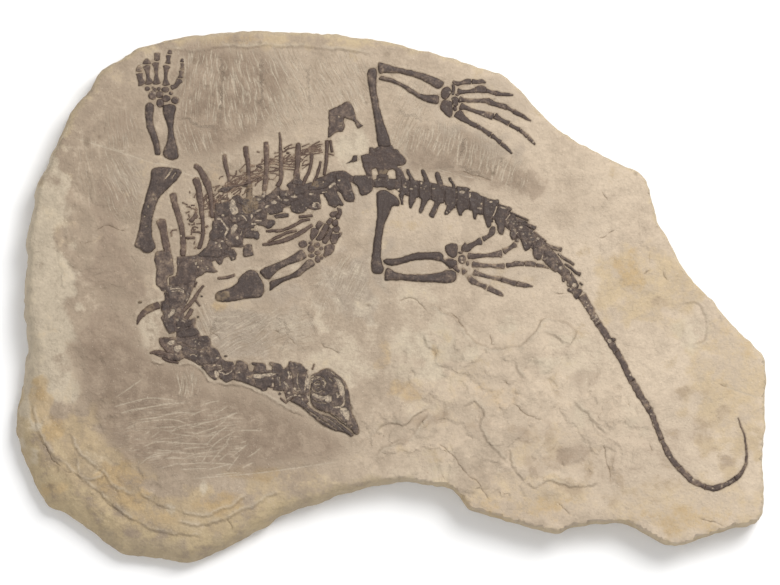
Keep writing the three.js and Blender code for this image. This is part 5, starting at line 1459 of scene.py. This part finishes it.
chalk = patches([
    (-191, -27, 9, 8, 1.5), (-104.6, -108, 2.6, 5, 1), (-123, -119, 2.6, 3, 0.8), (-190, -4, 14, 34, 1.1),
    (-186, -50, 11, 14, 0.9), (-136, -76, 5, 5, 0.4), (-136, -20, 7, 10, 0.7), (-133, -6, 8, 8, 0.6),
    (16, -27, 11, 11, 0.8), (22, -43, 11, 6, 0.9), (43, -33, 11, 5, 0.7), (65, -16, 6, 5, 0.8),
    (84, -39, 9, 5, 0.8), (108, -69, 10, 9, 0.6), (136, -69, 10, 12, 0.5), (168, -20, 12, 12, 0.8),
    (5, -57, 4, 2, 0.9), (-24, -42, 8, 12, 0.6), (-166, -94, 9, 8, 0.5), (110, -35, 20, 12, 0.4),
    (30, -100, 30, 10, 0.4), (93, -26, 7, 5, 0.6), (-22, 82, 9, 12, 0.8), (-202, 10, 14, 80, 1.5),
    (-190, 64, 12, 26, 1.1), (0, -50, 9, 26, 0.4), (-128, 12, 5, 10, 0.6), (-12, -25, 52, 40, 0.5),
], 41)
umber = patches([
    (22, -70, 12, 6, 0.6), (78, -78, 17, 6, 0.5), (103, -90, 10, 6, 0.9), (110, -49, 7, 7, 0.6),
    (151, -4, 6, 5, 0.6), (165, -57, 11, 5, 0.5), (173, -75, 9, 9, 0.5), (185, -66, 4, 5, 0.6),
    (187, -92, 5, 4, 0.5), (3, -80, 12, 4, 0.5), (-20, -3, 8, 3, 0.5), (-151, 92, 10, 11, 0.8),
    (-94, -62.5, 3, 0.8, 0.7), (-113, -68, 0.9, 4, 0.9), (-158, 50, 12, 18, 0.8), (-156, 8, 14, 30, 1),
    (-158, -20, 14, 20, 1), (-145, 5, 10, 8, 0.9), (-140, -40, 8, 8, 0.6), (130, -88, 44, 36, 0.42),
    (50, -76, 10, 12, 0.4), (-178, 10, 8, 30, 0.4), (84, -96, 10, 6, 0.6),
], 42)
worked_and_shaded = patches([
    (-82, -22, 22, 12, 0.9), (-55, -18, 14, 12, 0.6), (-66, 0, 22, 8, 0.7), (-98, -16, 10, 12, 0.7),
    (-32, 6, 14, 20, 0.7), (-6, 20, 14, 18, 0.7), (-22, 50, 10, 16, 0.5), (-112, 108, 12, 26, 0.6),
    # the strongest patch, at (36, 80), is worked stone made darker as painted shade
    (-66, 112, 12, 22, 0.5), (-30, 112, 22, 20, 0.4), (36, 80, 34, 13, 1.1), (20, 108, 18, 12, 0.4),
    (20, 20, 26, 14, 0.5), (60, 20, 34, 14, 0.4), (-150, 66, 12, 20, 0.5), (-20, 4, 16, 16, 1.1),
    (-20, -10, 13, 8, 0.9), (-86, -20, 20, 10, 1.1), (-64, -60, 10, 8, 0.6), (-30, -62, 8, 10, 0.5),
    (-84, 20, 12, 8, 0.4), (60, 110, 20, 14, 0.5), (100, 50, 20, 16, 0.4),
], 44)
spots = [
    (-190.6, -107.2, 2, 1.1), (-110.5, 131.5, 1.6, 1), (-103, 117.3, 1.5, 0.8), (-95, 104, 0.6, 0.8),
    (-73.8, 141.3, 1.3, 0.6), (-35.6, 123.3, 1.2, 1), (-2.2, 134.8, 1.5, 0.6), (-13.5, 107.3, 0.8, 1),
    (75, 65, 0.8, 0.5), (57, 68, 1.5, 1), (51.5, 110.8, 0.8, 0.4), (137.6, 67.7, 0.6, 0.6),
    (128, 72.6, 0.6, 0.5), (116.8, 27.4, 0.8, 0.7), (135.5, 5, 0.7, 0.5), (129, 8, 0.6, 0.4),
    (-163.7, 88.2, 0.6, 1), (-170.5, 85, 1.5, 2), (-155, 46.7, 0.8, 0.3), (-12.8, -5.8, 1.5, 0.6),
    (-116, 46.6, 0.6, 0.5), (-108.3, -12.7, 0.6, 0.6),
]
# real dark specks in the stone
for spot in spots:
    grimy = np.maximum(grimy, smooth(1.5 - oval(flat, *spot), 0, 0.9))

combs = [  # middle, half width, half height, direction of the strokes, strength
    (-106, 116, 13, 26, 84, 1), (-84, 116, 13, 26, 104, 1), (-60, 116, 15, 24, 117, 1),
    (-28, 118, 20, 18, 118, 0.9), (-109, 90, 11, 12, 110, 0.9), (-88, 74, 11, 10, 95, 0.5),
    (9, 90, 10, 12, 70, 0.9), (30, 86, 12, 12, 78, 0.9), (50, 78, 12, 11, 82, 0.9),
    (68, 68, 10, 10, 72, 0.8), (14, 110, 15, 11, 60, 0.7), (36, 67, 14, 5, 172, 0.7),
    (-80, -22, 24, 13, 28, 0.9), (-55, -20, 12, 14, 12, 0.6), (-104, -14, 6, 11, 118, 0.8),
    (-22, 10, 11, 14, 64, 0.8), (-38, -8, 9, 16, 70, 0.5), (-151, 60, 12, 18, 115, 0.8),
    (-151, 92, 11, 12, 100, 0.8), (-116, -78, 38, 20, 6, 0.5), (-114, -50, 7, 8, 92, 0.9),
    (-60, 10, 26, 9, 22, 0.4), (-170, 70, 8, 20, 100, 0.5), (-20, 60, 8, 14, 90, 0.3),
]
COMB_APART = 40.0  # lifts each area into a layer of its own in the strokes' noise
comb = np.zeros((len(flat), 3))
combed = np.zeros(len(flat))
for i, (x, y, wide, high, direction, strength) in enumerate(combs):
    away = flat - [x, y]
    weight = strength * smooth(1.25 - oval(flat, x, y, wide, high), 0, 0.5)
    turn = math.radians(direction)
    across = away @ [-math.sin(turn), math.cos(turn)] + 1.2 * bumps(flat, 9, 55)
    along = away @ [math.cos(turn), math.sin(turn)]
    stronger = weight > combed
    comb[stronger] = np.stack([across, along, np.full(len(flat), COMB_APART * i)], 1)[stronger]
    combed = np.maximum(combed, weight)

layer_tones = np.random.default_rng(9).uniform(-0.7, 0.7, 64)  # some layers are a little paler
marks = {
    "nearest": nearest, "plateau": plateau, "upland": upland, "saddle": saddle, "rim": rim.clip(0, 2),
    # the layer mark: each flaked layer's own tone, plus paler crests and darker hollows of the swirled relief
    # as painted light and shade
    "layer": broken_up * (layer_tones[layer.astype(int) % len(layer_tones)] + 1.3 * crest),
    # the pale scratches also carry the painted highlight on the ledges' lips; the dark mark holds painted
    # shade in cracks and on ledge steps, and the real dark specks
    "scratched": np.maximum(scratched, lip) * (cracked == 0), "grimy": np.maximum(grimy, 0.7 * cracked),
    "ochre": ochre, "golden": golden, "chalk": chalk, "umber": umber, "worked_and_shaded": worked_and_shaded,
    "combed": combed, "comb": comb,
}
print({name: float(values.mean().round(3)) for name, values in marks.items()})

# %% [markdown]
# ## Material: lagoon limestone
#
# Fine lime mud gives an even, matt stone. Daylight has turned the skin of the slab ochre and
# grey; where a tool has been, the stone is darker and combed, and a fresh scratch is nearly
# white. Noise of several sizes is added to every stored distance before it is used, so that no
# border looks painted, and the same noise dents the surface.

# %% Lagoon limestone, weathered and combed
def lagoon_limestone():
    material, tree = start_material("lagoon_limestone_combed")
    parts = ingredients(tree, {
        "clouds": (34, 4, 0.55), "blotches": (9, 8, 0.66), "grain": (1.8, 6, 0.72), "dust": (0.7, 2, 0.55),
        "swell": (6, 3, 0.5), "pits": (1.3, 2, 0.5)}, [name for name in marks if name != "comb"])
    parts["across"] = add_node(tree, "ShaderNodeSeparateXYZ", {0: parts["place"]})
    comb = add_node(tree, "ShaderNodeAttribute", out="Vector", attribute_name="comb")
    long_way = add_node(tree, "ShaderNodeVectorMath", {0: comb, 1: (1.1, 0.09, 1)}, operation="MULTIPLY")
    parts["strokes"] = add_node(tree, "ShaderNodeTexNoise", {
        "Vector": long_way, "Scale": 1.0, "Detail": 2.0, "Roughness": 0.6})
    parts["pale_stroke"] = share(tree, parts, 0.0, 0.53, 0.64, parts["combed"], strokes=1.0)
    parts["dark_stroke"] = share(tree, parts, 1.0, 0.53, 0.64, parts["combed"], strokes=-1.0)

    def patch(name, strength):
        """A stored stain, broken up by noise."""
        return share(tree, parts, -2.4, 0.2, 1.1, strength, **{name: 1.0},
                     blotches=2.2, clouds=1.8, grain=0.8)

    stone = laid_over(
        tree, "#b19f8b",
        (share(tree, parts, -0.1, across=2.2, clouds=1.1), "#efdcc3"),  # paler towards the right
        (share(tree, parts, 0.0, 0.52, 0.64, 0.4, blotches=1.0), "#dccbb4"),
        (patch("golden", 0.6), "#d2b98a"),
        (share(tree, parts, -0.45, 0.0, 0.7, 0.6, rim=-1.0, blotches=2.4), "#d6c297"),  # the worn rim: its golden tint is real, and it is laid on paler as painted light against the shade of the slope
        (patch("worked_and_shaded", 0.8), "#b1a495"), (patch("umber", 0.85), "#9f8c7b"),
        (patch("chalk", 0.8), "#dfd2ba"), (patch("ochre", 0.55), "#c3a168"))
    # the dressed areas: their border wanders by several millimetres
    dressed = laid_over(tree, "#8d7a6a", (share(tree, parts, 0.0, 0.36, 0.62, blotches=1.0), "#a3917f"))
    # the saddle's dark dressed stone is partly its real colour and partly painted shade
    for name, strength, soft in (("plateau", 0.92, 6), ("upland", 0.92, 4), ("saddle", 0.85, 4)):
        border = share(tree, parts, -40.0, -soft, soft, strength, **{name: 1.0},
                       clouds=26, blotches=32, grain=12, strokes=10)
        stone = laid_over(tree, stone, (border, dressed))
    stone = laid_over(
        tree, stone,
        (share(tree, parts, 0.2, 0.0, 2.0, 0.4, nearest=-1.0, blotches=4.0), "#d3c4ad"),  # cleaned
        (share(tree, parts, 0.3, 0.0, 0.7, 0.5, nearest=-1.0, grain=1.0), "#85735f"),  # darker on the stone at each bone's foot and in the gaps between bones
        (summed(tree, parts, 0.0, pale_stroke=0.75), "#d8cab4"),
        (summed(tree, parts, 0.0, dark_stroke=0.5), "#83725f"),
        # pale scratches, and the painted highlight on the ledges' lips
        (summed(tree, parts, 0.0, scratched=0.8), "#d6c9b3"))
    # tone that multiplies the stone: its real blotches and grain, and through the layer mark the painted
    # light and shade of the relief
    stone = add_node(tree, "ShaderNodeMix", {
        0: 1.0, 6: stone, 7: summed(tree, parts, 0.2, layer=0.13, blotches=0.9, grain=0.7)},
        out=2, data_type="RGBA", blend_type="MULTIPLY")
    stone = laid_over(
        tree, stone,
        # painted shade in cracks and on ledge steps, and real dark specks
        (summed(tree, parts, 0.0, grimy=0.7), "#6a5b4b"),
        (share(tree, parts, -0.5, 0.17, 0.23, 0.5, grain=1.0, blotches=1.0), "#7c6b58"),
        (share(tree, parts, 0.0, 0.66, 0.74, 0.35, dust=1.0), "#e4d9c6"))

    bump = add_node(tree, "ShaderNodeBump", {
        "Strength": 0.9, "Distance": 0.7 * MM,
        "Height": summed(tree, parts, 0.0, swell=2.0, pits=0.7, pale_stroke=-0.25)})
    shader = add_node(tree, "ShaderNodeBsdfPrincipled", {
        "Base Color": stone, "Roughness": 0.9, "IOR": 1.49, "Normal": bump})
    add_node(tree, "ShaderNodeOutputMaterial", {"Surface": shader})
    return material


stone_material = lagoon_limestone()
print("material:", stone_material.name)

# %% [markdown]
# ## Closing the slab
#
# Below its widest line the broken side tucks in to the flat underside. A few rings of the
# outline, each drawn a little further towards the middle, make that wall, and a coarse sheet of
# triangles closes the bottom.

# %% Side wall and underside
ring = border_of(faces)[0]
upper = np.column_stack([flat, height])
points, body = [upper], list(faces)
previous, count = ring, len(flat)
edge = flat[ring]
for inset, level in ((0.3, 7.4), (1.2, 4.8), (2.4, 2.2), (3.5, 0.5), (4.0, 0.0)):
    shrunk = 1 - inset / np.linalg.norm(edge, axis=1)
    wobble = 1 if level == 0 else 1 + 0.25 * bumps(edge + level * 7, 4, 42) / 100
    points.append(np.column_stack([edge * (shrunk * wobble)[:, None], np.full(len(edge), level)]))
    current = list(range(count, count + len(edge)))
    for i in range(len(edge)):
        j = (i + 1) % len(edge)
        body.append((previous[i], current[i], current[j], previous[j]))
    previous, count = current, count + len(edge)
bottom = points[-1][:, :2]
UNDERSIDE_STEP = 14
inner = scattered(bottom.min(0), bottom.max(0), UNDERSIDE_STEP)
inner = inner[depth_inside(inner, bottom) > 6]
under, under_faces = triangulated([bottom], inner)
lookup = {tuple(p.round(3)): previous[i] for i, p in enumerate(bottom)}
names = [lookup.get(tuple(p.round(3)), None) for p in under]
extra = [i for i, name in enumerate(names) if name is None]
for place, i in enumerate(extra):
    names[i] = count + place
points.append(np.column_stack([under[extra], np.zeros(len(extra))]))
body += [tuple(names[i] for i in reversed(face)) for face in under_faces]

whole = np.vstack(points)
rest = len(whole) - len(flat)
below = {"plateau": -REACH, "upland": -REACH, "saddle": -REACH, "nearest": NEAR_BONE}
columns = [np.concatenate([values, np.full((rest, *values.shape[1:]), below.get(name, 0.0))])
           for name, values in marks.items()]
slab = add_piece("limestone_slab", [(whole, body, *columns)], tuple(marks), stone_material,
                 ["slab"], crease=55)
print("faces of the slab:", len(slab.data.polygons))

# %% [markdown]
# ## Studio
#
# The slab lies on a pale floor under soft light: one wide lamp from beyond its upper edge, so
# that the bones throw short shadows downwards, a weak one opposite it, and an even pale sky. The
# camera has a long lens and stands a little towards the lower edge, from where a strip of the
# broken side shows under the slab.

# %% Floor, lamps and camera
scene = bpy.context.scene
scene.view_settings.view_transform = "Standard"


def studio_floor(half=3):
    """A square of white paper under the slab; half its side is given in metres."""
    mesh = bpy.data.meshes.new("studio_floor")
    corners = [(-half, -half, 0), (half, -half, 0), (half, half, 0), (-half, half, 0)]
    mesh.from_pydata(corners, [], [(0, 1, 2, 3)])
    floor = bpy.data.objects.new("studio_floor", mesh)
    scene.collection.objects.link(floor)
    material, tree = start_material("matt_white_paper")
    shader = add_node(tree, "ShaderNodeBsdfPrincipled", {"Base Color": "#f7f7f7", "Roughness": 1.0})
    add_node(tree, "ShaderNodeOutputMaterial", {"Surface": shader})
    mesh.materials.append(material)


def lamp(name, place, size, power):
    """A square lamp that faces the slab."""
    light = bpy.data.lights.new(name, "AREA")
    light.size, light.energy = size, power
    made = bpy.data.objects.new(name, light)
    made.location = place
    aim = -made.location
    made.rotation_euler = aim.to_track_quat("-Z", "Y").to_euler()
    scene.collection.objects.link(made)


studio_floor()
lamp("key_lamp", (0.7, 0.8, 1.4), 0.8, 27)
lamp("fill_lamp", (-1.2, -0.8, 1.6), 1.5, 6)
world = bpy.data.worlds.new("pale_room")
world.use_nodes = True
world.node_tree.nodes["Background"].inputs["Color"].default_value = colour("#ffffff")
world.node_tree.nodes["Background"].inputs["Strength"].default_value = 0.58
scene.world = world

VIEW_WIDTH = 436.8  # mm of the slab's face that the picture's width covers
DISTANCE = 3000.0  # mm from the camera to the face
TILT = 3.0  # degrees away from straight down
SENSOR = 36  # mm
aim = np.array([-0.56, 1.12, FACE])
lean = math.radians(TILT)
camera = bpy.data.objects.new("camera", bpy.data.cameras.new("camera"))
camera.data.sensor_width = SENSOR
camera.data.lens = SENSOR * DISTANCE / VIEW_WIDTH
camera.data.clip_end = 10
camera.location = (aim + DISTANCE * np.array([0, -math.sin(lean), math.cos(lean)])) * MM
camera.rotation_euler = (lean, 0, 0)
scene.collection.objects.link(camera)
scene.camera = camera
print("lens, mm:", round(camera.data.lens, 1))
